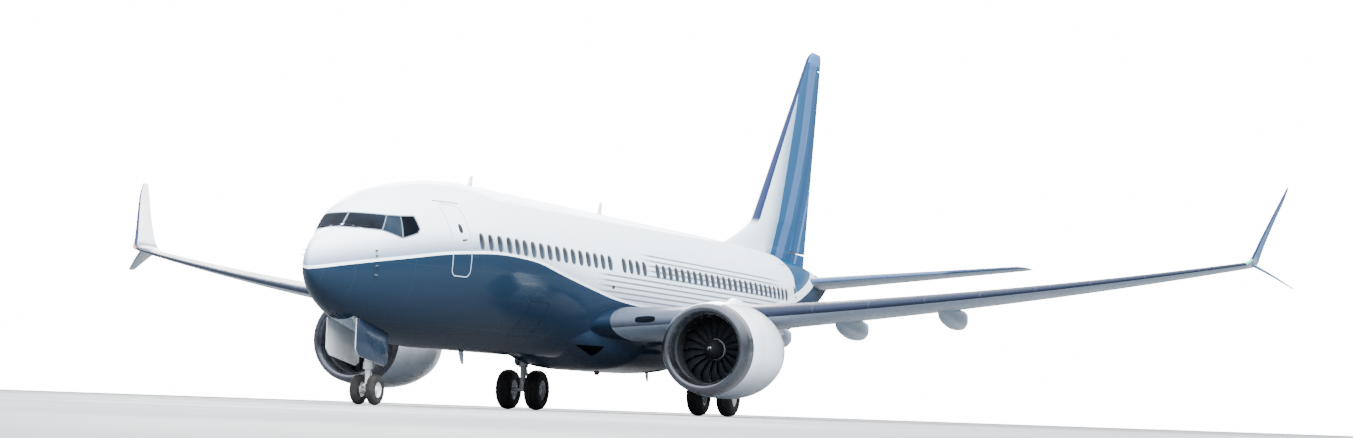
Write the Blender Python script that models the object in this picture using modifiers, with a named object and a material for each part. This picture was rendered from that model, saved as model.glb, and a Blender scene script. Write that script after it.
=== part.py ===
"""A twin-engined airliner, parked on its gear, as an assembly of its visible pieces.

Stations run aft from a datum just ahead of the nose, x runs to port, and heights are measured
from the centre of the cabin's upper lobe. The function place turns them into scene coordinates:
nose to -Y, port to +X, up to +Z, with the ground at zero and the middle of the aircraft's length
at y = 0.
"""

import math

import bmesh
import bpy
import numpy as np
from mathutils import Matrix, Vector

# Overall sizes in metres
LENGTH = 39.47
NOSE_STATION = 0.30
LOBE_HEIGHT = 3.50
SEAT = 0.0003

# Fuselage
BODY_HALF_WIDTH = 1.88
BODY_TOP = 1.88
BODY_KEEL = -2.13
TIP_HEIGHT = -0.57
NOSE_WIDTH_LENGTH = 6.92
NOSE_KEEL_LENGTH = 5.69
RADOME_END = 1.30
TAPER_START = 24.0
BODY_END = 38.15
TAIL_CONE_START = 36.75
TAIL_HALF_WIDTH = 0.28
TAIL_TOP = 1.30
TAIL_KEEL = 0.86
CROWN_LINE = (
    (1.82, 0.44), (2.12, 0.74), (2.42, 1.00), (2.85, 1.18), (3.5, 1.41), (4.4, 1.60),
    (5.4, 1.75), (6.4, 1.84), (7.4, 1.88),
)
BODY_SIDES = 36
EXHAUST_HEIGHT = 1.08
EXHAUST_RADIUS = 0.15
EXHAUST_DEPTH = 0.35

# Wing, given at its leading and trailing edges
ROOT_X = 1.95
JUNCTION_X = 16.95
LEADING_STATION = 13.34
LEADING_SWEEP = math.radians(27.6)
INNER_TRAILING = 20.45
KINK_X = 5.6
JUNCTION_CHORD = 1.62
ROOT_HEIGHT = -1.13
WING_RISE = 0.0903
WING_CURVE = 0.0036
ROOT_THICKNESS = 0.128
TIP_THICKNESS = 0.092
WING_INCIDENCE_DROP = 0.06
WING_SPANS = (1.0, ROOT_X, 3.8, KINK_X, 7.4, 9.4, 11.4, 13.2, 14.8, 16.0, JUNCTION_X)

# Wing to body fairing
FAIRING_FRONT = 12.3
FAIRING_END = 23.3
FAIRING_END_HALF_WIDTH = 1.30
FAIRING_END_DEPTH = 0.72
FAIRING_SQUARENESS = 0.72
FAIRING_HALF_WIDTH = 2.06
FAIRING_MIDDLE = -1.22
FAIRING_KEEL = -2.40

# Flaps and ailerons, as a part of the chord
FLAP_STATION = 19.30
FLAP_SPANS = ((2.25, 5.45), (5.75, 12.1))
AILERON_SPAN = (12.35, 15.9)
HINGE_PART = 0.76
FLAP_OVERRUN = 0.9
FLAP_GAP = 0.0006
PANEL_NOSE_STEPS = 6
PANEL_SKIN = 0.002
PANEL_EDGE = 0.004
PANEL_MIDDLE = 0.45
PANEL_MIDDLE_THICKNESS = 0.58
HINGE_GAP = 0.012
END_GAP = 0.034
END_RELIEF = 0.08
PIN_RADIUS = 0.014
PIN_LENGTH = 0.05
PIN_SIDES = 12

# Winglets: x, height over the wing's tip, leading station after the tip's, chord, lean from level
UPPER_BLADE = (
    (17.08, 0.09, 0.06, 1.50, 34), (17.17, 0.32, 0.24, 1.24, 60), (17.29, 0.68, 0.48, 1.02, 68),
    (17.52, 1.32, 0.92, 0.76, 70), (17.72, 1.88, 1.34, 0.54, 70), (17.82, 2.20, 1.66, 0.30, 70),
)
LOWER_BLADE = (
    (17.05, 0.03, 0.45, 0.98, -30), (17.5, -0.22, 0.86, 0.72, -30), (18.04, -0.56, 1.38, 0.34, -30),
)
BLADE_THICKNESS = 0.09

# Pods over the flap tracks: part of the length, drop, half width and half height
POD_SPANS = (4.3, 6.5, 9.2)
POD_LEAD = 2.35
POD_LENGTH = 3.15
POD_RINGS = (
    (0.0, 0.12, 0.02, 0.03), (0.12, 0.18, 0.11, 0.17), (0.35, 0.26, 0.17, 0.27),
    (0.62, 0.31, 0.17, 0.29), (0.86, 0.29, 0.13, 0.25), (1.0, 0.26, 0.05, 0.16),
)
POD_SIDES = 12

# Engines
ENGINE_X = 4.90
ENGINE_HEIGHT = -1.81
LIP_STATION = 12.12
LIP_LENGTH = 0.34
LIP_RADIUS = 1.145
THROAT_RADIUS = 0.865
FAN_STATION = 13.05
FAN_RADIUS = 0.875
DUCT_RADIUS = 0.89
COWL_RADIUS = 1.23
COWL_END = 15.70
COWL_WING_GAP = 0.02
FAN_BLADES = 18
BLADE_PLANE = 0.10
CORE_RADIUS = 0.60
CORE_FRONT = 13.32
NOZZLE_STATION = 17.0
PLUG_END = 17.75
ENGINE_STEPS = 30
PYLON_OUTLINE = (
    (13.85, -0.60), (14.35, -0.46), (15.1, -0.52), (17.0, -0.62), (18.5, -1.02), (18.75, -1.20),
    (17.6, -1.34), (16.3, -1.30), (14.6, -1.24), (13.95, -1.02),
)
PYLON_HALF_WIDTH = 0.17

# Tail
FIN_THICKNESS = 0.095
FIN_TOP = 9.05
FIN_KINK = 2.83
FIN_LEADING = 30.56
FIN_LEADING_SLOPE = 0.892
FIN_FOOT = 1.6
FIN_TRAILING = 36.13
FIN_TRAILING_SLOPE = 0.184
FIN_ROUND_HEIGHT = 8.7
FIN_HEIGHTS = (1.0, 1.7, 2.0, 2.4, FIN_KINK, 4.2, 6.0, 7.6, FIN_ROUND_HEIGHT, FIN_TOP - 0.12, FIN_TOP)
DORSAL_FOOT = 1.7
DORSAL_SLOPE = 2.2
DORSAL_CURVE = 0.95
DORSAL_CHORD = 5.4
RUDDER_HINGE = 0.68
RUDDER_LOW = 2.05
RUDDER_HIGH = 8.45
RUDDER_HIGH_RELIEF = 0.04
STABILIZER_HALF_SPAN = 7.175
STABILIZER_ROOT_X = 0.55
STABILIZER_ROOT_HEIGHT = 0.98
STABILIZER_DIHEDRAL = math.radians(7.6)
STABILIZER_LEADING = 33.45
STABILIZER_SWEEP = 4.75
STABILIZER_TRAILING = 37.6
STABILIZER_THICKNESS = 0.09
STABILIZER_ROUND_X = 6.9
STABILIZER_SPANS = (0.25, 1.4, 3.0, 5.0, 6.6, 7.0, STABILIZER_HALF_SPAN)
ELEVATOR_HINGE = 0.70
ELEVATOR_SPANS = (1.75, 4.2, 6.6)

# Gear
NOSE_GEAR_STATION = 3.38
MAIN_GEAR_STATION = 18.98
MAIN_GEAR_X = 2.86
MAIN_TYRE_RADIUS = 0.565
MAIN_TYRE_WIDTH = 0.42
MAIN_WHEEL_SPACING = 0.86
MAIN_AXLE_RADIUS = 0.055
NOSE_TYRE_RADIUS = 0.345
NOSE_TYRE_WIDTH = 0.20
NOSE_WHEEL_SPACING = 0.40
NOSE_AXLE_RADIUS = 0.032
BEARING_GAP = 0.0005
TYRE_STEPS = 22
NOSE_WELL_ROOF = -1.35
MAIN_WELL_X = 0.72
MAIN_WELL_RADIUS = 0.60
MAIN_WELL_ROOF = -1.75
TOW_REACH = 0.16
NOSE_WELL_PLAN = ((1.95, -0.33), (3.66, -0.33), (3.66, 0.33), (1.95, 0.33))
NOSE_DOOR_X = (0.345, 0.375)
NOSE_DOOR_OUTLINE = (
    (2.0, -1.6), (2.0, -2.28), (2.15, -2.42), (3.45, -2.62), (3.62, -2.55), (3.62, -1.6),
)
MAIN_DOOR_X = (0.135, 0.175)
MAIN_LEG_TOP = -1.09
MAIN_DOOR_OUTLINE = (
    (MAIN_LEG_TOP, -0.30), (-2.18, -0.26), (-2.26, -0.16),
    (-2.26, 0.16), (-2.18, 0.26), (MAIN_LEG_TOP, 0.30),
)
JACKING_POINTS = ((3.9, 0.55),)
JACKING_PAD_RADIUS = 0.07
JACKING_PAD_DEPTH = 0.03

# Colours as linear red, green and blue, then metallic and roughness
FINISHES = {
    "white_paint": ((0.82, 0.83, 0.85), 0.0, 0.28),
    "blue_paint": ((0.035, 0.09, 0.16), 0.0, 0.30),
    "tail_paint": ((0.10, 0.27, 0.45), 0.0, 0.30),
    "grey_paint": ((0.40, 0.42, 0.45), 0.0, 0.38),
    "bare_metal": ((0.62, 0.64, 0.67), 1.0, 0.22),
    "titanium": ((0.10, 0.11, 0.13), 1.0, 0.38),
    "hot_metal": ((0.22, 0.20, 0.19), 1.0, 0.45),
    "gear_paint": ((0.62, 0.63, 0.64), 0.0, 0.40),
    "rubber": ((0.018, 0.018, 0.019), 0.0, 0.85),
    "lens": ((0.55, 0.03, 0.02), 0.0, 0.15),
}
SIDES = (("port", 1), ("starboard", -1))


def place(station, x, height):
    """A point in scene coordinates."""
    return Vector((x, station - NOSE_STATION - LENGTH / 2, LOBE_HEIGHT + height))


def clear_scene():
    for obj in list(bpy.data.objects):
        bpy.data.objects.remove(obj, do_unlink=True)
    parts = bpy.data.collections.new("airliner")
    helpers = bpy.data.collections.new("cutters")
    for collection in (parts, helpers):
        bpy.context.scene.collection.children.link(collection)
    return parts, helpers


PARTS, HELPERS = clear_scene()


def finish(name):
    """The material of this name, made the first time it is asked for."""
    if name in bpy.data.materials:
        return bpy.data.materials[name]
    colour, metallic, roughness = FINISHES[name]
    material = bpy.data.materials.new(name)
    material.use_nodes = True
    shader = material.node_tree.nodes["Principled BSDF"]
    shader.inputs["Base Color"].default_value = (*colour, 1.0)
    shader.inputs["Metallic"].default_value = metallic
    shader.inputs["Roughness"].default_value = roughness
    return material


def add(name, mesh_data, finish_name):
    """An object for this mesh. Without a finish it is a helper that the build leaves out."""
    obj = bpy.data.objects.new(name, mesh_data)
    if finish_name is None:
        HELPERS.objects.link(obj)
        obj.hide_render = True
        obj.display_type = "WIRE"
        return obj
    PARTS.objects.link(obj)
    mesh_data.materials.append(finish(finish_name))
    mesh_data.shade_smooth()
    mesh_data.set_sharp_from_angle(angle=math.radians(35))
    return obj


def from_bmesh(name, bm, finish_name):
    bmesh.ops.recalc_face_normals(bm, faces=bm.faces)
    mesh_data = bpy.data.meshes.new(name)
    bm.to_mesh(mesh_data)
    bm.free()
    return add(name, mesh_data, finish_name)


def bridge(bm, near, far):
    """Faces between two rings of the same count, or between a ring and a point."""
    if len(near) == 1:
        near, far = far, near
    count = len(near)
    for i in range(count):
        j = (i + 1) % count
        if len(far) == 1:
            bm.faces.new((near[i], near[j], far[0]))
        else:
            bm.faces.new((near[i], near[j], far[j], far[i]))


def loft(name, rings, finish_name):
    """A closed solid through rings of points. A ring of one point closes an end."""
    bm = bmesh.new()
    rows = [[bm.verts.new(point) for point in ring] for ring in rings]
    for near, far in zip(rows, rows[1:]):
        bridge(bm, near, far)
    for row in (rows[0], rows[-1]):
        if len(row) > 2:
            bm.faces.new(row)
    # Twisted faces are split the same way in a piece and in its cutter, so that they stay parallel
    bmesh.ops.triangulate(bm, faces=bm.faces, quad_method="FIXED")
    return from_bmesh(name, bm, finish_name)


def block(name, corners, low, high, finish_name=None):
    """A solid over four plan corners (station, x), between two heights."""
    rings = [[place(s, x, height) for s, x in corners] for height in (low, high)]
    return loft(name, rings, finish_name)


def rod(name, start, end, radius, finish_name=None, sides=14, end_radius=None):
    """A round bar between two points, tapered if an end radius is given."""
    start, end = Vector(start), Vector(end)
    along = end - start
    bm = bmesh.new()
    bmesh.ops.create_cone(
        bm, cap_ends=True, segments=sides, radius1=radius,
        radius2=end_radius or radius, depth=along.length,
    )
    turn = along.to_track_quat("Z", "Y").to_matrix().to_4x4()
    move = Matrix.Translation((start + end) / 2) @ turn
    bmesh.ops.transform(bm, matrix=move, verts=bm.verts)
    return from_bmesh(name, bm, finish_name)


def downward(profile):
    """The profile in the order that runs down its outer side."""
    following = profile[1:] + profile[:1]
    area = sum(r * next_a - next_r * a for (a, r), (next_a, next_r) in zip(profile, following))
    return profile if area < 0 else profile[::-1]


def turned(name, profile, centre, axis, finish_name, steps=ENGINE_STEPS, phase=0.0):
    """A profile of (distance along the axis, radius) turned about an axis, X or Y.

    The profile is drawn in the XZ plane, down its outer side, and turned about Z. Then Z is laid
    along the axis.
    """
    bm = bmesh.new()
    start = Vector((math.cos(phase), math.sin(phase), 0.0))
    points = []
    for along, radius in downward(profile):
        points.append(bm.verts.new(start * radius + Vector((0, 0, along))))
    for first, second in zip(points, points[1:]):
        bm.edges.new((first, second))
    if profile[0][1] > 0 and profile[-1][1] > 0:
        bm.edges.new((points[-1], points[0]))
    mesh_data = bpy.data.meshes.new(name)
    bm.to_mesh(mesh_data)
    bm.free()
    obj = add(name, mesh_data, finish_name)
    obj.location = centre
    if axis == "Y":
        obj.rotation_euler = (-math.pi / 2, 0.0, 0.0)
    else:
        obj.rotation_euler = (0.0, math.pi / 2, 0.0)
    screw = obj.modifiers.new("turn", "SCREW")
    screw.steps = screw.render_steps = steps
    screw.use_merge_vertices = True
    screw.merge_threshold = 0.0001
    screw.use_smooth_shade = True
    return obj


def boolean(target, tool, operation="DIFFERENCE"):
    modifier = target.modifiers.new(f"{operation.lower()} {tool.name}", "BOOLEAN")
    modifier.operation = operation
    modifier.object = tool


def ease(start, end, value):
    """Runs smoothly from 0 at start to 1 at end."""
    part = min(max((value - start) / (end - start), 0.0), 1.0)
    return part * part * (3 - 2 * part)


def blunt(station, length, power, root):
    """Grows from 0 at the tip to 1 at this length, as a blunt ogive does."""
    part = min(station / length, 1.0)
    return (1 - (1 - part) ** power) ** root


def curve_through(points, value):
    """A smooth line through points (position, height), by cubic pieces."""
    xs = [p[0] for p in points]
    ys = [p[1] for p in points]
    if value >= xs[-1]:
        return ys[-1]
    slopes = np.gradient(ys, xs)
    slopes[-1] = 0.0
    i = max(int(np.searchsorted(xs, value)) - 1, 0)
    gap = xs[i + 1] - xs[i]
    t = (value - xs[i]) / gap
    return float(
        ys[i] * (1 + 2 * t) * (1 - t) ** 2 + slopes[i] * gap * t * (1 - t) ** 2
        + ys[i + 1] * t * t * (3 - 2 * t) + slopes[i + 1] * gap * t * t * (t - 1)
    )


def body_shape(station):
    """Half width, top, keel and the height of the widest point at a station."""
    rear = max(station - TAPER_START, 0.0) / (BODY_END - TAPER_START)
    from_tip = station - NOSE_STATION
    width = BODY_HALF_WIDTH * blunt(from_tip, NOSE_WIDTH_LENGTH, 1.53, 0.70)
    width -= (BODY_HALF_WIDTH - TAIL_HALF_WIDTH) * rear ** 2
    keel = TIP_HEIGHT + (BODY_KEEL - TIP_HEIGHT) * blunt(from_tip, NOSE_KEEL_LENGTH, 2.12, 0.578)
    keel += (TAIL_KEEL - BODY_KEEL) * rear ** 1.6
    sill_station, sill_height = CROWN_LINE[0]
    if station < sill_station:
        reach = (sill_station - NOSE_STATION) * 1.25
        rise = blunt(from_tip, reach, 1.6, 0.50)
        full = blunt(sill_station - NOSE_STATION, reach, 1.6, 0.50)
        top = TIP_HEIGHT + (sill_height - TIP_HEIGHT) * rise / full
    else:
        top = curve_through(CROWN_LINE, station)
    top -= (BODY_TOP - TAIL_TOP) * rear ** 3.2
    middle = -0.56 * (1 - ease(NOSE_STATION, 5.5, station))
    middle += (TAIL_TOP + TAIL_KEEL) / 2 * rear ** 2
    return width, top, keel, middle


def body_ring(station, grow=0.0, sides=BODY_SIDES):
    """The fuselage's outline at a station: two half ovals that meet at the widest point.

    Ahead of the cabin the upper half is squarer, for the flight deck's windows.
    """
    width, top, keel, middle = body_shape(station)
    square = 1 - 0.20 * ease(0.6, 1.7, station) * (1 - ease(2.6, 4.6, station))
    ring = []
    for i in range(sides):
        angle = 2 * math.pi * (i + 0.5) / sides
        across = math.cos(angle)
        up = math.sin(angle)
        reach = top - middle if up > 0 else middle - keel
        power = square if up > 0 else 1.0
        x = (width + grow) * math.copysign(abs(across) ** power, across)
        z = middle + (reach + grow) * math.copysign(abs(up) ** power, up)
        ring.append(place(station, x, z))
    return ring


def body_stations(front, rear):
    """Stations between two ends: close together over the nose, wide apart along the cabin."""
    wanted = [NOSE_STATION + aft for aft in (0.03, 0.10, 0.24, 0.44, 0.70)]
    wanted += [RADOME_END, RADOME_END + SEAT, 1.56, 1.82, 2.12, 2.42]
    wanted += [2.85, 3.4, 4.1, 5.0, 6.2, 8.0]
    wanted += list(np.linspace(11.0, TAPER_START, 5))
    wanted += list(np.linspace(TAPER_START + 1.25, TAIL_CONE_START, 9))
    wanted += [TAIL_CONE_START + SEAT, 37.3, 37.8]
    return [front] + [s for s in wanted if front < s < rear] + [rear]


def body_piece(name, front, rear, finish_name, grow=0.0):
    stations = body_stations(front, rear)
    rings = [body_ring(s, grow) for s in stations]
    if front == NOSE_STATION:
        rings[0] = [place(front, 0.0, TIP_HEIGHT)]
    return loft(name, rings, finish_name)


def make_fuselage():
    body_piece("radome", NOSE_STATION, RADOME_END, "blue_paint")
    shell = body_piece("fuselage", RADOME_END + SEAT, TAIL_CONE_START, "white_paint")
    cone = body_piece("tail_cone", TAIL_CONE_START + SEAT, BODY_END, "white_paint")
    deep_end = place(BODY_END - EXHAUST_DEPTH, 0.0, EXHAUST_HEIGHT)
    open_end = place(BODY_END + 0.1, 0.0, EXHAUST_HEIGHT)
    boolean(cone, rod("exhaust_bore", deep_end, open_end, EXHAUST_RADIUS))
    boolean(shell, block("nose_well", NOSE_WELL_PLAN, BODY_KEEL - 0.5, NOSE_WELL_ROOF))
    return shell


def make_fairing(body_cutter):
    """The fairing that wraps the wing's root under the body."""
    fairing = fairing_loft("belly_fairing", 0.0, "grey_paint")
    boolean(fairing, body_cutter)
    return fairing, fairing_loft("belly_fairing_cutter", SEAT, None)


def cut_wheel_wells(pieces):
    """Round wells under the belly, which take the main wheels when the gear is up."""
    for label, side in SIDES:
        mouth = place(MAIN_GEAR_STATION, side * MAIN_WELL_X, FAIRING_KEEL - 0.2)
        roof = place(MAIN_GEAR_STATION, side * MAIN_WELL_X, MAIN_WELL_ROOF)
        well = rod(f"main_well_{label}", mouth, roof, MAIN_WELL_RADIUS, None, 32)
        for piece in pieces:
            boolean(piece, well)


def fairing_loft(name, grow, finish_name):
    rings = []
    for station in np.linspace(FAIRING_FRONT, FAIRING_END, 17):
        swell = ease(FAIRING_FRONT, FAIRING_FRONT + 3.5, station)
        swell *= 1 - ease(FAIRING_END - 4.4, FAIRING_END, station)
        half_width = FAIRING_END_HALF_WIDTH
        half_width += (FAIRING_HALF_WIDTH - FAIRING_END_HALF_WIDTH) * swell + grow
        depth = FAIRING_END_DEPTH
        depth += (FAIRING_MIDDLE - FAIRING_KEEL - FAIRING_END_DEPTH) * swell + grow
        ring = []
        for i in range(28):
            angle = 2 * math.pi * (i + 0.5) / 28
            across = math.cos(angle)
            up = math.sin(angle)
            reach = depth * (0.62 if up > 0 else 1)
            x = half_width * math.copysign(abs(across) ** FAIRING_SQUARENESS, across)
            z = FAIRING_MIDDLE + reach * math.copysign(abs(up) ** FAIRING_SQUARENESS, up)
            ring.append(place(station, x, z))
        rings.append(ring)
    return loft(name, rings, finish_name)


def foil(thickness, points=9, start=0.0, end=1.0):
    """An aerofoil as (part of the chord, height over the chord line): above aft, below forward."""
    parts = []
    for i in range(points + 1):
        parts.append(start + (end - start) * (1 - math.cos(math.pi * i / points)) / 2)

    def half(u):
        return 5 * thickness * (
            0.2969 * math.sqrt(u) - 0.1260 * u - 0.3516 * u ** 2 + 0.2843 * u ** 3 - 0.1015 * u ** 4
        )

    above = [(u, half(u)) for u in parts]
    below = [(u, -half(u)) for u in reversed(parts)]
    if start == 0.0:
        below = below[:-1]
    return above + below


def foil_ring(leading, trailing, thickness, normal, grow=0.0, points=9):
    """A foil between two edge points, its thickness along the normal."""
    chord = trailing - leading
    ring = []
    for u, v in foil(thickness, points):
        offset = v * chord.length + math.copysign(grow, v) * (u > 0)
        ring.append(leading + chord * u + normal * offset - chord.normalized() * grow * (u == 0))
    return ring


def leading_edge(x):
    """Station and height of the wing's leading edge, which curves up towards the tip."""
    outward = x - ROOT_X
    height = ROOT_HEIGHT + WING_RISE * outward + WING_CURVE * outward * outward
    return LEADING_STATION + math.tan(LEADING_SWEEP) * outward, height


def trailing_edge(x):
    tip_leading, tip_height = leading_edge(JUNCTION_X)
    tip = tip_leading + JUNCTION_CHORD
    station = INNER_TRAILING
    if x > KINK_X:
        station += (tip - INNER_TRAILING) * (x - KINK_X) / (JUNCTION_X - KINK_X)
    part = (x - ROOT_X) / (JUNCTION_X - ROOT_X)
    return station, leading_edge(x)[1] - WING_INCIDENCE_DROP * (1 - part)


def wing_thickness(x):
    part = min(max((x - ROOT_X) / (JUNCTION_X - ROOT_X), 0.0), 1.0)
    return ROOT_THICKNESS + (TIP_THICKNESS - ROOT_THICKNESS) * part ** 0.6


def wing_ring(x, side, grow=0.0):
    front, front_height = leading_edge(x)
    rear, rear_height = trailing_edge(x)
    leading = place(front, side * x, front_height)
    trailing = place(rear, side * x, rear_height)
    return foil_ring(leading, trailing, wing_thickness(x), Vector((0, 0, 1)), grow)


def wing_point(x, part, above):
    """Station and height on the wing's skin at this part of the chord."""
    front, front_height = leading_edge(x)
    rear, rear_height = trailing_edge(x)
    half = foil(wing_thickness(x), 1, part, part + 1e-6)[0][1] * (rear - front)
    height = front_height + (rear_height - front_height) * part
    return front + (rear - front) * part, height + (half if above else -half)


def panel(name, sections, side, finish_name):
    """A flap or control surface behind its hinge line, with a half-round nose.

    Each section gives the hinge's station, x and height, the end's station and height, and the
    half thickness there. The nose is a half circle about the hinge.
    """
    rings = []
    for hinge_station, x, hinge_height, end_station, end_height, half in sections:
        hinge = Vector((hinge_station, hinge_height))
        end = Vector((end_station, end_height))
        along = (end - hinge).normalized()
        across = Vector((-along.y, along.x))
        reach = (end - hinge).length
        outline = []
        for i in range(PANEL_NOSE_STEPS + 1):
            angle = math.pi * (0.5 + i / PANEL_NOSE_STEPS)
            outline.append(hinge + along * half * math.cos(angle) + across * half * math.sin(angle))
        middle = hinge + along * reach * PANEL_MIDDLE
        outline.append(middle - across * half * PANEL_MIDDLE_THICKNESS)
        outline.append(end - across * PANEL_EDGE)
        outline.append(end + across * PANEL_EDGE)
        outline.append(middle + across * half * PANEL_MIDDLE_THICKNESS)
        rings.append([place(point.x, side * x, point.y) for point in outline])
    return loft(name, rings, finish_name)


def flap_plan(side, spans, front_part, margin):
    """Plan corners behind a line on the wing, drawn in by the margin."""
    corners = []
    for x, inward in ((spans[0], 1), (spans[1], -1)):
        front = leading_edge(x)[0]
        rear = trailing_edge(x)[0]
        across = side * (x + inward * margin)
        line = front + (rear - front) * front_part(x) + margin
        corners.append(((line, across), (rear + FLAP_OVERRUN, across)))
    inner, outer = corners
    return inner[0], inner[1], outer[1], outer[0]


def inboard_flap_part(x):
    front = leading_edge(x)[0]
    return (FLAP_STATION - front) / (trailing_edge(x)[0] - front)


def outboard_flap_part(x):
    return HINGE_PART - 0.02


def make_wing(label, side, body_cutter, fairing_cutter):
    """The wing, its flaps and aileron. Its tip ends where the winglet starts."""
    wing = loft(f"wing_{label}", [wing_ring(x, side) for x in WING_SPANS], "grey_paint")
    for cutter in (body_cutter, fairing_cutter):
        boolean(wing, cutter)
    parts = (inboard_flap_part, outboard_flap_part)
    for name, spans, front_part in zip(("inboard", "outboard"), FLAP_SPANS, parts):
        bay = block(f"flap_{name}_{label}_bay", flap_plan(side, spans, front_part, 0.0), -3.0, 3.0)
        boolean(wing, bay)
        flap = loft(f"flap_{name}_{label}", [wing_ring(x, side) for x in WING_SPANS], "grey_paint")
        plan = flap_plan(side, spans, front_part, FLAP_GAP)
        boolean(flap, block(f"flap_{name}_{label}_plan", plan, -3.0, 3.0), "INTERSECT")
    hinges = []
    for x in np.linspace(*AILERON_SPAN, 3):
        station, above = wing_point(x, HINGE_PART, True)
        below = wing_point(x, HINGE_PART, False)[1]
        half = (above - below) / 2 - PANEL_SKIN
        hinges.append((station, x, (above + below) / 2, *trailing_edge(x), half))
    aileron = panel(f"aileron_{label}", hinges, side, "grey_paint")
    boolean(wing, hinge_bay(f"aileron_{label}_bay", hinges, side, -3.0, 3.0))
    ends = [place(station, side * x, height) for station, x, height, *_ in (hinges[0], hinges[-1])]
    hinge_pins(aileron, wing, *ends)
    for number, (x, part) in enumerate(JACKING_POINTS):
        station, height = wing_point(x, part, False)
        pad = rod(
            f"jacking_pad_{number}_{label}", place(station, side * x, height + 0.10),
            place(station, side * x, height - JACKING_PAD_DEPTH), JACKING_PAD_RADIUS, None, 16,
        )
        boolean(wing, pad, "UNION")
    return loft(f"wing_{label}_cutter", [wing_ring(x, side, SEAT) for x in WING_SPANS], None)


def hinge_pins(surface, carrier, inner, outer):
    """Pins on the hinge's axis at both ends of a control surface, in bores in what carries it."""
    along = (outer - inner).normalized()
    for end_name, point, outward in (("inner", inner, -along), ("outer", outer, along)):
        tip = point + outward * (END_GAP + PIN_LENGTH)
        inside = point - outward * 0.04
        pin = rod(f"{surface.name}_{end_name}_pin", inside, tip, PIN_RADIUS, None, PIN_SIDES)
        boolean(surface, pin, "UNION")
        bore = rod(
            f"{surface.name}_{end_name}_bore", point, tip + outward * SEAT,
            (PIN_RADIUS + BEARING_GAP) / math.cos(math.pi / PIN_SIDES), None, PIN_SIDES,
        )
        boolean(carrier, bore)


def hinge_bay(name, hinges, side, low, high):
    """The cutter for a control surface's bay, ahead of its round nose by the gap.

    Its end walls spread aft, because the surface turns about a swept axis.
    """
    corners = []
    nose_inner, nose_outer = (section[0] - section[5] for section in (hinges[0], hinges[-1]))
    lean = (nose_outer - nose_inner) / (hinges[-1][1] - hinges[0][1])
    for section, outward in ((hinges[0], -1), (hinges[-1], 1)):
        front = section[0] - section[5] - HINGE_GAP + lean * outward * END_GAP
        rear = section[3] + 1.0
        x = section[1] + outward * END_GAP
        spread = outward * END_RELIEF * (rear - front)
        corners.append(((front, side * x), (rear, side * (x + spread))))
    inner, outer = corners
    return block(name, (inner[0], inner[1], outer[1], outer[0]), low, high)


def make_winglet(label, side):
    """The split winglet: an upper blade that curves up from the wing's tip, and a lower blade."""
    root = ((JUNCTION_X + SEAT, 0.0, 0.0, JUNCTION_CHORD, 0),)
    upper = blade_loft(f"winglet_{label}", side, root + UPPER_BLADE, 7, "white_paint")
    lower = blade_loft(f"winglet_{label}_lower", side, LOWER_BLADE, 6, None)
    boolean(upper, lower, "UNION")


def blade_loft(name, side, rows, points, finish_name):
    front, height = leading_edge(JUNCTION_X)
    rings = []
    for x, rise, aft, chord, lean in rows:
        angle = math.radians(lean)
        normal = Vector((-side * math.sin(angle), 0.0, math.cos(angle)))
        leading = place(front + aft, side * x, height + rise)
        trailing = place(front + aft + chord, side * x, height + rise)
        rings.append(foil_ring(leading, trailing, BLADE_THICKNESS, normal, points=points))
    return loft(name, rings, finish_name)


def make_flap_fairing(label, side, number, x, wing_cutter):
    """A pod under the wing that covers a flap's track."""
    rear, rear_height = trailing_edge(x)
    rings = []
    for part, drop, half_width, half_height in POD_RINGS:
        station = rear - POD_LEAD + part * POD_LENGTH
        ring = []
        for i in range(POD_SIDES):
            angle = 2 * math.pi * i / POD_SIDES
            across = side * x + half_width * math.cos(angle)
            ring.append(place(station, across, rear_height - drop + half_height * math.sin(angle)))
        rings.append(ring)
    pod = loft(f"flap_fairing_{number}_{label}", rings, "grey_paint")
    boolean(pod, wing_cutter)


def fin_edges(height):
    """Leading and trailing stations of the fin at a height."""
    leading = FIN_LEADING + FIN_LEADING_SLOPE * (height - FIN_KINK)
    return leading, FIN_TRAILING + FIN_TRAILING_SLOPE * (height - FIN_FOOT)


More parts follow.
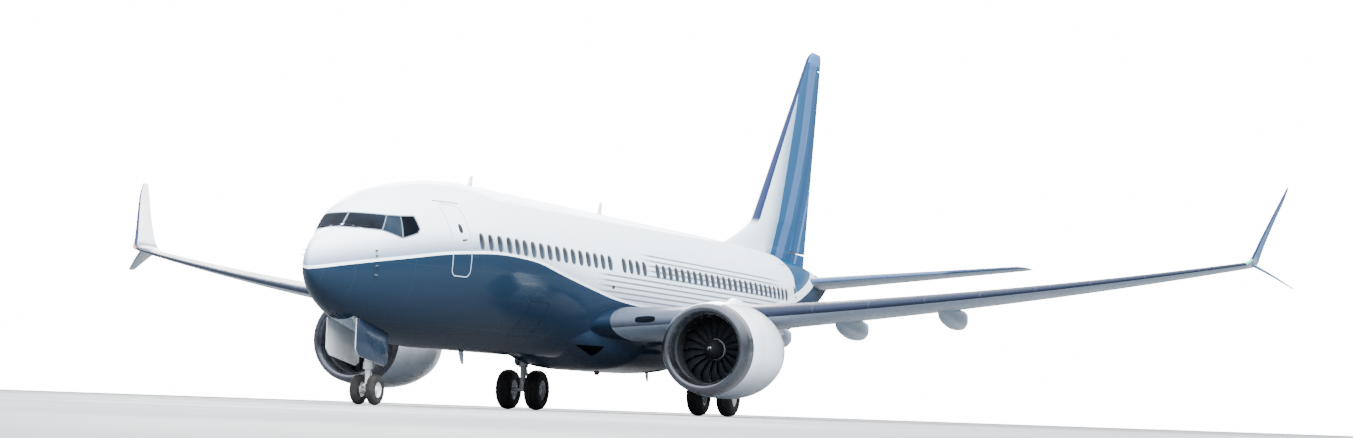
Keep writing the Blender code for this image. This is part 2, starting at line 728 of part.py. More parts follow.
def make_fin(body_cutter):
    """The fin with the dorsal fairing ahead of it, and the rudder behind its hinge."""
    rings = []
    for height in FIN_HEIGHTS:
        front, rear = fin_edges(height)
        if height < FIN_KINK:
            below = FIN_KINK - max(height, DORSAL_FOOT)
            front = FIN_LEADING - DORSAL_SLOPE * below - DORSAL_CURVE * below ** 2
        if height > FIN_ROUND_HEIGHT:
            rounding = ((height - FIN_ROUND_HEIGHT) / (FIN_TOP - FIN_ROUND_HEIGHT)) ** 2
            front += 0.30 * rounding
            rear -= 0.10 * rounding
        thickness = FIN_THICKNESS * (0.6 if height == FIN_TOP else 1.0)
        if height < FIN_KINK:
            thickness *= DORSAL_CHORD / (rear - front)
        leading, trailing = place(front, 0.0, height), place(rear, 0.0, height)
        rings.append(foil_ring(leading, trailing, thickness, Vector((1, 0, 0))))
    fin = loft("fin", rings, "tail_paint")
    boolean(fin, body_cutter)
    sections = []
    for height in (RUDDER_LOW, 5.0, RUDDER_HIGH):
        front, rear = fin_edges(height)
        station = front + (rear - front) * RUDDER_HINGE
        half = foil(FIN_THICKNESS, 1, RUDDER_HINGE, 0.99)[0][1] * (rear - front) - PANEL_SKIN
        sections.append((station, height, rear, half))
    rings = []
    for station, height, rear, half in sections:
        outline = []
        for i in range(PANEL_NOSE_STEPS + 1):
            angle = math.pi * (0.5 + i / PANEL_NOSE_STEPS)
            outline.append((half * math.cos(angle), half * math.sin(angle)))
        reach = rear - station
        middle = reach * PANEL_MIDDLE
        half_middle = half * PANEL_MIDDLE_THICKNESS
        outline += [(middle, -half_middle), (reach, -PANEL_EDGE)]
        outline += [(reach, PANEL_EDGE), (middle, half_middle)]
        rings.append([place(station + along, across, height) for along, across in outline])
    rudder = loft("rudder", rings, "tail_paint")
    low, high = sections[0], sections[-1]
    lean = (high[0] - high[3] - low[0] + low[3]) / (high[1] - low[1])
    bay = []
    for section, height, rise in (
        (low, RUDDER_LOW - END_GAP, 0.0), (high, RUDDER_HIGH + END_GAP, RUDDER_HIGH_RELIEF),
    ):
        front = section[0] - section[3] - HINGE_GAP + lean * (height - section[1])
        rear = section[2] + 2.0
        rear_height = height + rise * (rear - front)
        bay.append([
            place(front, -1, height), place(front, 1, height),
            place(rear, 1, rear_height), place(rear, -1, rear_height),
        ])
    boolean(fin, loft("rudder_bay", bay, None))
    ends = [place(station, 0.0, height) for station, height, *_ in (low, high)]
    hinge_pins(rudder, fin, *ends)


def stabilizer_edges(x):
    """Leading and trailing stations and the height of a stabilizer at x."""
    part = (x - STABILIZER_ROOT_X) / (STABILIZER_HALF_SPAN - STABILIZER_ROOT_X)
    height = STABILIZER_ROOT_HEIGHT + math.tan(STABILIZER_DIHEDRAL) * (x - STABILIZER_ROOT_X)
    trailing = STABILIZER_TRAILING + (NOSE_STATION + LENGTH - STABILIZER_TRAILING) * part
    return STABILIZER_LEADING + STABILIZER_SWEEP * part, trailing, height


def make_stabilizer(label, side, body_cutter):
    rings = []
    for x in STABILIZER_SPANS:
        front, rear, height = stabilizer_edges(x)
        round_off = max(x - STABILIZER_ROUND_X, 0.0) / (STABILIZER_HALF_SPAN - STABILIZER_ROUND_X)
        front += 0.32 * round_off ** 2
        leading, trailing = place(front, side * x, height), place(rear, side * x, height)
        thickness = STABILIZER_THICKNESS * (1 - 0.5 * round_off)
        rings.append(foil_ring(leading, trailing, thickness, Vector((0, 0, 1)), points=8))
    tail = loft(f"stabilizer_{label}", rings, "grey_paint")
    boolean(tail, body_cutter)
    sections = []
    for x in ELEVATOR_SPANS:
        front, rear, height = stabilizer_edges(x)
        station = front + (rear - front) * ELEVATOR_HINGE
        half = foil(STABILIZER_THICKNESS, 1, ELEVATOR_HINGE, 0.99)[0][1] * (rear - front) - PANEL_SKIN
        sections.append((station, x, height, rear, height, half))
    elevator = panel(f"elevator_{label}", sections, side, "grey_paint")
    boolean(tail, hinge_bay(f"elevator_{label}_bay", sections, side, -1.0, 3.5))
    ends = [place(station, side * x, height) for station, x, height, *_ in (sections[0], sections[-1])]
    hinge_pins(elevator, tail, *ends)


def cowl_profile(grow=0.0):
    """The nacelle behind its lip: outer skin aft, then the duct forward again."""
    outer = [(LIP_LENGTH, LIP_RADIUS), (0.8, 1.205), (1.4, COWL_RADIUS)]
    outer += [(2.0, 1.235), (2.5, 1.215), (3.0, 1.155)]
    length = COWL_END - LIP_STATION
    outer.append((length, 1.02))
    inner = [(length, 0.99), (3.1, 1.02), (2.5, 1.0), (1.7, 0.93), (1.05, DUCT_RADIUS)]
    inner += [(0.80, DUCT_RADIUS), (LIP_LENGTH, THROAT_RADIUS)]
    return [(a, r + grow) for a, r in outer] + [(a, r - grow) for a, r in inner]


def lip_profile():
    """The polished ring at the mouth: half an oval from the outer skin to the throat."""
    middle = (LIP_RADIUS + THROAT_RADIUS) / 2
    half = (LIP_RADIUS - THROAT_RADIUS) / 2
    length = LIP_LENGTH - SEAT
    ring = []
    for i in range(7):
        angle = math.pi * i / 6
        ring.append((length - length * math.sin(angle), middle - half * math.cos(angle)))
    return ring


def core_profile():
    """The engine's closed core, its cowl and nozzle, and the plug that ends in a point."""
    front = CORE_FRONT - LIP_STATION
    nozzle = NOZZLE_STATION - LIP_STATION
    end = PLUG_END - LIP_STATION
    return [
        (front, 0.0), (front, 0.24), (front + 0.12, 0.24), (front + 0.12, 0.52),
        (front + 0.9, CORE_RADIUS), (front + 2.3, 0.66), (nozzle - 0.8, 0.56), (nozzle, 0.41),
        (nozzle, 0.33), (nozzle + 0.3, 0.24), (end, 0.0),
    ]


def fan_profile():
    """The spinner and hub of the fan, from its tip aft to the hub's rear face."""
    tip = FAN_STATION - 0.36
    points = [(tip, 0.0), (tip + 0.03, 0.045), (tip + 0.14, 0.13), (tip + 0.30, 0.225)]
    points += [(tip + 0.42, 0.27), (CORE_FRONT - BEARING_GAP, 0.30), (CORE_FRONT - BEARING_GAP, 0.0)]
    return [(station - LIP_STATION, radius) for station, radius in points]


def blade_ring(radius, chord, twist, sweep, turn, thickness=0.016):
    """Four corners of a fan blade's section, laid round the engine's axis."""
    ring = []
    for along, across in ((-0.5, -0.5), (0.5, -0.5), (0.5, 0.5), (-0.5, 0.5)):
        aft = along * chord * math.cos(twist) - across * thickness * math.sin(twist) + sweep
        tangent = along * chord * math.sin(twist) + across * thickness * math.cos(twist)
        angle = turn + tangent / radius
        ring.append(Vector((radius * math.sin(angle), aft, radius * math.cos(angle))))
    return ring


def make_engine(label, side):
    centre = place(LIP_STATION, side * ENGINE_X, ENGINE_HEIGHT)
    turned(f"inlet_lip_{label}", lip_profile(), centre, "Y", "bare_metal")
    cowl = turned(f"nacelle_{label}", cowl_profile(), centre, "Y", "white_paint")
    turned(f"engine_core_{label}", core_profile(), centre, "Y", "hot_metal", 28)
    fan = turned(f"fan_{label}", fan_profile(), centre, "Y", "titanium", 24)
    middle = place(FAN_STATION + BLADE_PLANE, side * ENGINE_X, ENGINE_HEIGHT)
    bm = bmesh.new()
    for i in range(FAN_BLADES):
        turn = 2 * math.pi * i / FAN_BLADES
        rings = [
            blade_ring(0.24, 0.17, math.radians(35), 0.0, turn),
            blade_ring(0.50, 0.24, math.radians(50), -0.02, turn + 0.05),
            blade_ring(0.70, 0.28, math.radians(60), -0.01, turn + 0.03),
            blade_ring(FAN_RADIUS, 0.27, math.radians(66), 0.03, turn - 0.06),
        ]
        rows = [[bm.verts.new(point + middle) for point in ring] for ring in rings]
        for near, far in zip(rows, rows[1:]):
            bridge(bm, near, far)
        for row in (rows[0], rows[-1]):
            bm.faces.new(row)
    boolean(fan, from_bmesh(f"fan_{label}_blades", bm, None), "UNION")
    return cowl, centre


def pylon_loft(name, side, grow, finish_name):
    """The strut that carries the engine: its side outline, thinner towards both ends."""
    count = len(PYLON_OUTLINE)
    middle_station = sum(s for s, _ in PYLON_OUTLINE) / count
    middle_height = sum(h for _, h in PYLON_OUTLINE) / count
    rings = []
    for across, part in ((-1.0, 0.90), (-0.7, 1.0), (0.7, 1.0), (1.0, 0.90)):
        part += 5 * grow
        ring = []
        for station, height in PYLON_OUTLINE:
            s = middle_station + (station - middle_station) * part
            h = middle_height + (height - middle_height) * part
            x = side * ENGINE_X + across * (PYLON_HALF_WIDTH + grow)
            ring.append(place(s, x, h))
        rings.append(ring)
    return loft(name, rings, finish_name)


def make_pylon(label, side, cowl, centre, wing_cutter):
    strut = pylon_loft(f"pylon_{label}", side, 0.0, "white_paint")
    core_cutter = turned(
        f"engine_core_{label}_cutter", [(a, r + SEAT if r else 0.0) for a, r in core_profile()],
        centre, "Y", None, 28,
    )
    boolean(strut, wing_cutter)
    boolean(strut, core_cutter)
    boolean(cowl, pylon_loft(f"pylon_{label}_cutter", side, SEAT, None))
    rings = [wing_ring(x, side, COWL_WING_GAP) for x in (3.2, 3.8, KINK_X, 7.4)]
    boolean(cowl, loft(f"nacelle_{label}_wing_cutter", rings, None))


def tyre_profile(radius, width, bore):
    """A wheel with its tyre: rim face, sidewall, rounded shoulder and tread, on both sides."""
    half = width / 2
    rim = radius * 0.52
    side = [
        (half * 0.55, bore), (half * 0.55, rim * 0.45), (half * 0.30, rim * 0.62),
        (half * 0.30, rim * 0.88), (half * 0.80, rim), (half, radius * 0.72),
        (half * 0.90, radius * 0.90), (half * 0.45, radius),
    ]
    return [(-along, r) for along, r in side] + side[::-1]


def make_wheel(name, centre, radius, width, axle_radius):
    """A wheel that stands on one of its flats, which lie at the tyre's radius."""
    corner = 1 / math.cos(math.pi / TYRE_STEPS)
    profile = tyre_profile(radius * corner, width, (axle_radius + BEARING_GAP) * corner)
    turned(name, profile, centre, "X", "rubber", TYRE_STEPS, math.pi / TYRE_STEPS)


def make_main_gear(label, side, wing_cutter, fairing_cutter):
    x = side * MAIN_GEAR_X
    axle = MAIN_TYRE_RADIUS - LOBE_HEIGHT
    station = MAIN_GEAR_STATION

    def point(dx, height, ds=0.0):
        return place(station + ds, x + side * dx, height)

    leg_name = f"main_gear_leg_{label}"
    leg = rod(leg_name, point(0, axle + 0.62), point(0, MAIN_LEG_TOP), 0.125, "gear_paint", 18)
    reach = MAIN_WHEEL_SPACING / 2 + MAIN_TYRE_WIDTH * 0.36
    pieces = (
        ("piston", point(0, axle - 0.05), point(0, axle + 0.66), 0.082, 16),
        ("axle", point(-reach, axle), point(reach, axle), MAIN_AXLE_RADIUS, 16),
        ("brace", point(-0.02, axle + 0.95), point(-1.25, -1.55), 0.055, 12),
        ("link_upper", point(0, axle + 0.70, 0.10), point(0, axle + 0.36, 0.34), 0.04, 8),
        ("link_lower", point(0, axle + 0.36, 0.34), point(0, axle + 0.06, 0.05), 0.04, 8),
    )
    for piece, start, end, radius, sides in pieces:
        boolean(leg, rod(f"main_gear_{piece}_{label}", start, end, radius, None, sides), "UNION")
    for cutter in (wing_cutter, fairing_cutter):
        boolean(leg, cutter)
    for wheel, offset in (("inner", -1), ("outer", 1)):
        centre = point(offset * MAIN_WHEEL_SPACING / 2, axle)
        name = f"main_wheel_{wheel}_{label}"
        make_wheel(name, centre, MAIN_TYRE_RADIUS, MAIN_TYRE_WIDTH, MAIN_AXLE_RADIUS)
    rings = [[point(dx, h, s) for h, s in MAIN_DOOR_OUTLINE] for dx in MAIN_DOOR_X]
    boolean(loft(f"main_gear_door_{label}", rings, "white_paint"), wing_cutter)


def make_nose_gear(body_cutter):
    station = NOSE_GEAR_STATION
    axle = NOSE_TYRE_RADIUS - LOBE_HEIGHT
    collar = axle + 0.62
    leg_foot = place(station, 0, collar + BEARING_GAP)
    leg = rod("nose_gear_leg", leg_foot, place(station, 0, NOSE_WELL_ROOF - SEAT), 0.085, "gear_paint", 16)
    brace_top = place(2.35, 0, NOSE_WELL_ROOF - 0.06)
    brace = rod("nose_gear_brace", place(station, 0, -2.15), brace_top, 0.045, None, 10)
    boolean(leg, brace, "UNION")
    strut_foot = place(station, 0, axle - 0.04)
    strut_top = place(station, 0, collar - 0.12)
    strut = rod("nose_gear_strut", strut_foot, strut_top, 0.055, "bare_metal", 16)
    reach = NOSE_WHEEL_SPACING / 2 + NOSE_TYRE_WIDTH * 0.36
    link_middle = place(station + 0.22, 0, axle + 0.26)
    tow_height = axle + 0.10
    pieces = (
        ("steering_collar", place(station, 0, collar - 0.16), place(station, 0, collar), 0.105, 16),
        ("axle", place(station, -reach, axle), place(station, reach, axle), NOSE_AXLE_RADIUS, 14),
        ("tow_fitting", place(station, 0, tow_height), place(station - TOW_REACH, 0, tow_height), 0.03, 12),
        ("link_upper", place(station + 0.06, 0, collar - 0.08), link_middle, 0.025, 8),
        ("link_lower", link_middle, place(station, 0, axle + 0.04), 0.025, 8),
    )
    for piece, start, end, radius, sides in pieces:
        boolean(strut, rod(f"nose_gear_{piece}", start, end, radius, None, sides), "UNION")
    for label, side in SIDES:
        centre = place(station, side * NOSE_WHEEL_SPACING / 2, axle)
        make_wheel(f"nose_wheel_{label}", centre, NOSE_TYRE_RADIUS, NOSE_TYRE_WIDTH, NOSE_AXLE_RADIUS)
        rings = [[place(s, side * x, h) for s, h in NOSE_DOOR_OUTLINE] for x in NOSE_DOOR_X]
        boolean(loft(f"nose_gear_door_{label}", rings, "white_paint"), body_cutter)


def make_small_pieces(body_cutter, fairing_cutter):
    """Blade antennas above and below, and a beacon and a drain mast under the belly."""
    beacon_top = place(17.4, 0, FAIRING_KEEL + 0.04)
    beacon_tip = beacon_top - Vector((0, 0, 0.13))
    beacon = rod("belly_beacon", beacon_top, beacon_tip, 0.085, "lens", 12, 0.05)
    mast_rings = []
    for part, front, chord in ((0.0, 21.1, 0.34), (1.0, 21.26, 0.20)):
        height = -2.05 - 0.52 * part
        leading, trailing = place(front, 0, height), place(front + chord, 0, height)
        mast_rings.append(foil_ring(leading, trailing, 0.16, Vector((1, 0, 0)), points=5))
    mast = loft("drain_mast", mast_rings, "grey_paint")
    for piece in (beacon, mast):
        for cutter in (fairing_cutter, body_cutter):
            boolean(piece, cutter)
    blades = (
        ("antenna_front", 8.32, BODY_TOP - 0.05, 0.34, 0.34),
        ("antenna_belly", 8.22, BODY_KEEL + 0.05, -0.36, 0.32),
        ("antenna_rear", 16.96, BODY_TOP - 0.05, 0.42, 0.36),
    )
    for name, station, height, rise, chord in blades:
        rings = []
        for part in (0.0, 0.5, 1.0):
            front = station + 0.18 * part
            leading = place(front, 0, height + rise * part)
            trailing = place(front + chord * (1 - 0.45 * part), 0, height + rise * part)
            rings.append(foil_ring(leading, trailing, 0.12, Vector((1, 0, 0)), points=5))
        boolean(loft(name, rings, "white_paint"), body_cutter)


def make_airliner():
    shell = make_fuselage()
    body_cutter = body_piece("body_cutter", NOSE_STATION, BODY_END, None, SEAT)
    fairing, fairing_cutter = make_fairing(body_cutter)
    cut_wheel_wells((shell, fairing))
    for label, side in SIDES:
        wing_cutter = make_wing(label, side, body_cutter, fairing_cutter)
        make_winglet(label, side)
        for number, x in enumerate(POD_SPANS, 1):
            make_flap_fairing(label, side, number, x, wing_cutter)
        cowl, centre = make_engine(label, side)
        make_pylon(label, side, cowl, centre, wing_cutter)
        make_stabilizer(label, side, body_cutter)
        make_main_gear(label, side, wing_cutter, fairing_cutter)
    make_fin(body_cutter)
    make_nose_gear(body_cutter)
    make_small_pieces(body_cutter, fairing_cutter)


make_airliner()
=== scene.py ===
import math

import bmesh
import bpy
import numpy as np
from mathutils import Matrix, Vector


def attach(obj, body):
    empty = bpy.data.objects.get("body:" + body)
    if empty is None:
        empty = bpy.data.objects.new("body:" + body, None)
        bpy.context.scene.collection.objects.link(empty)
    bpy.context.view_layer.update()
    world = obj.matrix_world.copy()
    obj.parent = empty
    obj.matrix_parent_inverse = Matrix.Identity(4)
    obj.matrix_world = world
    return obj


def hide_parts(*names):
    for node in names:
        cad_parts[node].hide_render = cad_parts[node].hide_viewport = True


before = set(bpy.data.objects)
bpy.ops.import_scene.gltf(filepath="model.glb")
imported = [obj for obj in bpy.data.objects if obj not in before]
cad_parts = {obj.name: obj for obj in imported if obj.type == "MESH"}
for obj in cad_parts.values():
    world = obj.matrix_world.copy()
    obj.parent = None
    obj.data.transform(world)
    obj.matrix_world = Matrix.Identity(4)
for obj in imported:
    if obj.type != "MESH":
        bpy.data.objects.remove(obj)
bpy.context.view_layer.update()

noseStation = 0.30
overallLength = 39.47
lobeHeight = 3.50
sides = (("port", 1), ("starboard", -1))


# Scene metres from part coordinates: y = station - (0.30 + 39.47 / 2), z = height + 3.50
def place(points):
    return np.asarray(points, float) + np.array([0.0, -noseStation - overallLength / 2, lobeHeight])


# Smooth step: t = (value - start) / (end - start), held between 0 and 1, then t * t * (3 - 2 * t)
def ease(start, end, value):
    t = np.clip((np.asarray(value, float) - start) / (end - start), 0, 1)
    return t * t * (3 - 2 * t)


def signedPower(value, power):
    return np.sign(value) * np.abs(value) ** power


# A cubic line through (position, value) points, its slopes from their neighbours
def lineThrough(points, position, flatEnd=True):
    xs, ys = np.array(points, float).T
    slopes = np.gradient(ys, xs)
    slopes[-1] *= not flatEnd
    position = np.clip(position, xs[0], xs[-1])
    i = np.clip(np.searchsorted(xs, position) - 1, 0, len(xs) - 2)
    gap = xs[i + 1] - xs[i]
    t = (position - xs[i]) / gap
    rising = ys[i] * (1 + 2 * t) * (1 - t) ** 2 + slopes[i] * gap * t * (1 - t) ** 2
    return rising + ys[i + 1] * t * t * (3 - 2 * t) + slopes[i + 1] * gap * t * t * (t - 1)


# Evenly spread angles round a full turn, from half a step
def turnAngles(count):
    return 2 * math.pi * (np.arange(count) + 0.5) / count


# A closed surface over rings of points: quads between rings, and a point or one face at each end.
# The faces are turned so that the volume, the sum of a . (b x c) / 6, is above zero.
def shell(rings, start=None, end=None, loop=False, marks=None):
    rings = np.asarray(rings, float)
    rows, columns = rings.shape[:2]
    points = rings.reshape(-1, 3)
    values = {}
    for key, value in (marks or {}).items():
        values[key] = np.broadcast_to(value, (rows, columns)).reshape(-1)
    index = np.arange(rows * columns).reshape(rows, columns)
    beside = np.roll(index, -1, axis=1)
    if loop:
        near, nearBeside = index, beside
        far, farBeside = np.roll(index, -1, axis=0), np.roll(beside, -1, axis=0)
    else:
        near, nearBeside, far, farBeside = index[:-1], beside[:-1], index[1:], beside[1:]
    quads = np.stack([near, nearBeside, farBeside, far], -1).reshape(-1, 4)
    corner = points[quads] - points.mean(0)
    volume = np.einsum("ij,ij->i", corner[:, 0], np.cross(corner[:, 1], corner[:, 2])).sum()
    volume += np.einsum("ij,ij->i", corner[:, 0], np.cross(corner[:, 2], corner[:, 3])).sum()
    faces = quads.tolist()
    for cap, row, besideRow, turn in ((start, index[0], beside[0], 1), (end, index[-1], beside[-1], -1)):
        if loop:
            continue
        if cap is None:
            faces.append(row[::-turn].tolist())
            continue
        tip = np.full(columns, len(points))
        points = np.vstack([points, cap])
        values = {key: np.append(value, value[row[0]]) for key, value in values.items()}
        faces += np.stack([besideRow, row, tip][::turn], -1).tolist()
    if volume < 0:
        faces = [face[::-1] for face in faces]
    return {"points": points, "faces": faces, "marks": values}


# A closed plate between two grids of points, upper and lower, with walls along its border
def slab(upper, lower, marks=None):
    upper, lower = np.asarray(upper, float), np.asarray(lower, float)
    return shell(np.concatenate([upper, lower[:, ::-1]], axis=1), marks=marks)


# One object from closed surfaces given in part coordinates, riding on a body of the part
def buildPiece(name, shells, finishes, body="airframe", replaced=(), sharp=38):
    points, faces, materialOf = [], [], []
    count = 0
    for part, finish in zip(shells, finishes):
        points.append(part["points"])
        faces += [[corner + count for corner in face] for face in part["faces"]]
        materialOf += [finish] * len(part["faces"])
        count += len(part["points"])
    mesh = bpy.data.meshes.new(name)
    mesh.from_pydata(place(np.concatenate(points)).tolist(), [], faces)
    for key in sorted({key for part in shells for key in part["marks"]}):
        values = [part["marks"].get(key, np.zeros(len(part["points"]))) for part in shells]
        mesh.attributes.new(key, "FLOAT", "POINT").data.foreach_set("value", np.concatenate(values))
    kinds = list(dict.fromkeys(finishes))
    for finish in kinds:
        mesh.materials.append(finish)
    mesh.polygons.foreach_set("material_index", [kinds.index(finish) for finish in materialOf])
    return addObject(name, mesh, body, replaced, sharp)


def addObject(name, mesh, body, replaced=(), sharp=38):
    mesh.shade_smooth()
    mesh.set_sharp_from_angle(angle=math.radians(sharp))
    obj = bpy.data.objects.new(name, mesh)
    bpy.context.scene.collection.objects.link(obj)
    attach(obj, body)
    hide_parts(*replaced)
    return obj


# A profile of (place on the line, radius) turned about a line that runs across, aft or up.
# Point: its place on the line, and in the other two directions centre + radius * (cos, sin).
def turned(way, profile, centre, steps=40, loop=False, caps=(None, None)):
    axis = ("across", "aft", "up").index(way)
    along, radius = np.array(profile, float).T[:, :, None]
    centre = np.array(centre, float)
    angles = turnAngles(steps)
    grid = [centre[0] + radius * np.cos(angles), centre[1] + radius * np.sin(angles)]
    grid.insert(axis, np.broadcast_to(along, grid[0].shape))
    ends = [None if cap is None else np.insert(centre, axis, cap) for cap in caps]
    return shell(np.stack(grid, -1), *ends, loop=loop)


# A round tube along a path, its section square to the path at each point
def tube(path, radius, count=12):
    path = np.asarray(path, float)
    along = np.gradient(path, axis=0)
    along /= np.linalg.norm(along, axis=1, keepdims=True)
    steady = np.array([0.31, 0.22, 0.93]) if abs(along[:, 2]).mean() < 0.8 else np.array([1.0, 0.1, 0.0])
    first = np.cross(along, steady)
    first /= np.linalg.norm(first, axis=1, keepdims=True)
    second = np.cross(along, first)
    angles = turnAngles(count)
    reach = np.broadcast_to(np.asarray(radius, float), len(path))[:, None, None]
    ring = first[:, None] * np.cos(angles)[:, None] + second[:, None] * np.sin(angles)[:, None]
    return shell(path[:, None] + ring * reach)


# A curve through points, evenly spread over them
def curvePath(points, count=24):
    points = np.asarray(points, float)
    t = np.linspace(0, 1, len(points))
    wanted = np.linspace(0, 1, count)
    return np.stack([lineThrough(np.stack([t, points[:, k]], -1), wanted, False) for k in range(3)], -1)


# Colours: a hex code as sRGB, turned linear: c / 12.92 below 0.04045, else ((c + 0.055) / 1.055) ^ 2.4
def linear(code):
    parts = [int(code[i:i + 2], 16) / 255 for i in (1, 3, 5)]
    return tuple(c / 12.92 if c < 0.04045 else ((c + 0.055) / 1.055) ** 2.4 for c in parts) + (1.0,)


# Links computed sockets to a node's inputs, or sets plain values and hex colours
def dress(tree, node, values):
    for key, value in values.items():
        if isinstance(value, bpy.types.NodeSocket):
            tree.links.new(value, node.inputs[key])
        else:
            node.inputs[key].default_value = linear(value) if isinstance(value, str) else value


# Adds a node with its settings and inputs, and returns one of its outputs
def addNode(tree, kind, inputs=None, output=0, **settings):
    node = tree.nodes.new(kind)
    for key, value in settings.items():
        setattr(node, key, value)
    dress(tree, node, inputs or {})
    return node.outputs[output] if node.outputs else None


def startMaterial(name, values):
    material = bpy.data.materials.new(name)
    material.use_nodes = True
    tree = material.node_tree
    shader = tree.nodes["Principled BSDF"]
    dress(tree, shader, values)
    return material, tree, shader


# A value's place between two others, eased at both ends and spread from start to end
def scaleOf(tree, low, high, value, start=0.0, end=1.0):
    inputs = {"Value": value, "From Min": low, "From Max": high, "To Min": start, "To Max": end}
    return addNode(tree, "ShaderNodeMapRange", inputs, interpolation_type="SMOOTHSTEP")


def mixed(tree, factor, first, second):
    return addNode(tree, "ShaderNodeMix", {0: factor, 6: first, 7: second}, 2, data_type="RGBA")


def math2(tree, operation, first, second=0.0, third=0.0):
    return addNode(tree, "ShaderNodeMath", {0: first, 1: second, 2: third}, operation=operation)


# A painted, bare or rubber surface with a worn colour, an uneven sheen and a fine grain, all in metres
def surface(name, look):
    material, tree, shader = startMaterial(name, {
        "Metallic": look.get("metallic", 0.0), "Coat Weight": look.get("coat", 0.0), "Coat Roughness": 0.06,
        "Coat IOR": 1.5, "Specular IOR Level": look.get("gloss", 0.3),
    })
    where = addNode(tree, "ShaderNodeTexCoord", output=3)
    stretch = addNode(tree, "ShaderNodeMapping", {"Vector": where, "Scale": look.get("stretch", (1, 1, 1))})
    broad = addNode(tree, "ShaderNodeTexNoise", {"Vector": stretch, "Scale": look["patch"], "Detail": 5.0})
    fine = addNode(tree, "ShaderNodeTexNoise", {"Vector": stretch, "Scale": look["grain"], "Detail": 3.0})
    worn = scaleOf(tree, 0.35, 0.75, broad, 0.0, look.get("wear", 0.3))
    rough = look["roughness"]
    dress(tree, shader, {
        "Base Color": mixed(tree, worn, look["colour"], look["dirt"]),
        "Roughness": scaleOf(tree, 0.3, 0.7, broad, rough * 0.85, rough * 1.2),
        "Normal": addNode(tree, "ShaderNodeBump", {
            "Height": fine, "Strength": look.get("bump", 0.05), "Distance": 0.002,
        }),
    })
    return material


# Half thickness of a wing's section over its chord, the usual symmetric section of five terms:
# 5 t (0.2969 sqrt u - 0.126 u - 0.3516 u^2 + 0.2843 u^3 - 0.1015 u^4)
def foilHalf(u, thickness):
    curve = 0.2969 * np.sqrt(u) - 0.1260 * u - 0.3516 * u ** 2 + 0.2843 * u ** 3 - 0.1015 * u ** 4
    return 5 * thickness * curve


# Rings of a foil between edge lines, and a mark with each point's part of the chord.
# Each section runs from part start of the chord to part end. The normal is one direction, or one a ring.
def foilRings(leading, trailing, thickness, normal, start=0.0, end=1.0, count=36):
    leading, trailing = np.asarray(leading, float), np.asarray(trailing, float)
    rows = len(leading)
    normal = np.broadcast_to(np.asarray(normal, float), (rows, 3))
    start, end = (np.broadcast_to(np.asarray(v, float), rows)[:, None] for v in (start, end))
    step = (1 - np.cos(math.pi * np.arange(count + 1) / count)) / 2
    u = start + (end - start) * step
    chord = trailing - leading
    length = np.linalg.norm(chord, axis=1)[:, None]
    half = foilHalf(u, np.broadcast_to(np.asarray(thickness, float), rows)[:, None]) * length
    middle = leading[:, None] + chord[:, None] * u[..., None]
    above = middle + normal[:, None] * half[..., None]
    below = (middle - normal[:, None] * half[..., None])[:, ::-1]
    first = 1 if float(start.max()) == 0.0 else 0
    rings = np.concatenate([above, below[:, :below.shape[1] - first]], axis=1)
    u = np.concatenate([u, u[:, ::-1][:, :u.shape[1] - first]], axis=1)
    return rings, {"chord": u}


# Fuselage: half width, top, keel, the widest point's height and the squareness at a station, as in the part.
# A nose line grows as (1 - (1 - t)^power)^root over its (length, power, root). The tail tapers with powers of
# its own share. The roof over the windscreen is squarer than an oval.
hullLook = {
    "halfWidth": 1.88, "noseHeight": -0.57, "keelDrop": 1.56, "browRise": 1.01, "browEnd": 1.82,
    "widthNose": (6.92, 1.53, 0.70), "keelNose": (5.69, 2.12, 0.578), "browNose": (1.9, 1.6, 0.50),
    "crown": ((1.82, 0.44), (2.12, 0.74), (2.42, 1.00), (2.85, 1.18), (3.5, 1.41), (4.4, 1.60), (5.4, 1.75),
              (6.4, 1.84), (7.4, 1.88)),
    "tailStart": 24.0, "tailLength": 14.15, "tailWidth": (1.60, 2), "tailKeel": (2.99, 1.6),
    "tailTop": (0.58, 3.2), "tailMiddle": (1.08, 2), "noseMiddle": -0.56, "noseEnd": 5.5, "square": 0.20,
    "squareStart": (0.6, 1.7), "squareEnd": (2.6, 4.6),
}


def blunt(station, length, power, root):
    part = np.clip((station - noseStation) / length, 0, 1)
    return (1 - (1 - part) ** power) ** root


def bodyShape(station):
    look = hullLook
    station = np.asarray(station, float)
    rear = np.maximum(station - look["tailStart"], 0) / look["tailLength"]
    narrowing, lift, droop, rise = (
        look[key][0] * rear ** look[key][1] for key in ("tailWidth", "tailKeel", "tailTop", "tailMiddle")
    )
    width = look["halfWidth"] * blunt(station, *look["widthNose"]) - narrowing
    keel = look["noseHeight"] - look["keelDrop"] * blunt(station, *look["keelNose"]) + lift
    brow = blunt(station, *look["browNose"]) / blunt(look["browEnd"], *look["browNose"])
    brow = look["noseHeight"] + look["browRise"] * brow
    top = np.where(station < look["browEnd"], brow, lineThrough(look["crown"], station)) - droop
    middle = look["noseMiddle"] * (1 - ease(noseStation, look["noseEnd"], station)) + rise
    square = ease(*look["squareStart"], station) * (1 - ease(*look["squareEnd"], station))
    return width, top, keel, middle, 1 - look["square"] * square


def bodyRings(stations, count):
    width, top, keel, middle, square = (value[:, None] for value in bodyShape(stations))
    angles = turnAngles(count)
    across, up = np.cos(angles)[None], np.sin(angles)[None]
    power = np.where(up > 0, square, 1.0)
    reach = np.where(up > 0, top - middle, middle - keel)
    x = width * signedPower(across, power)
    z = middle + reach * signedPower(up, power)
    return np.stack([x, np.broadcast_to(stations[:, None], x.shape), z], -1)


# The half of the fuselage's section that holds a point: its half width, the point's height over its middle,
# its reach upwards or downwards, and its power
def sectionOf(station, height):
    width, top, keel, middle, square = bodyShape(station)
    z = height - middle
    return width, z, np.where(z > 0, top - middle, middle - keel), np.where(z > 0, square, 1.0)


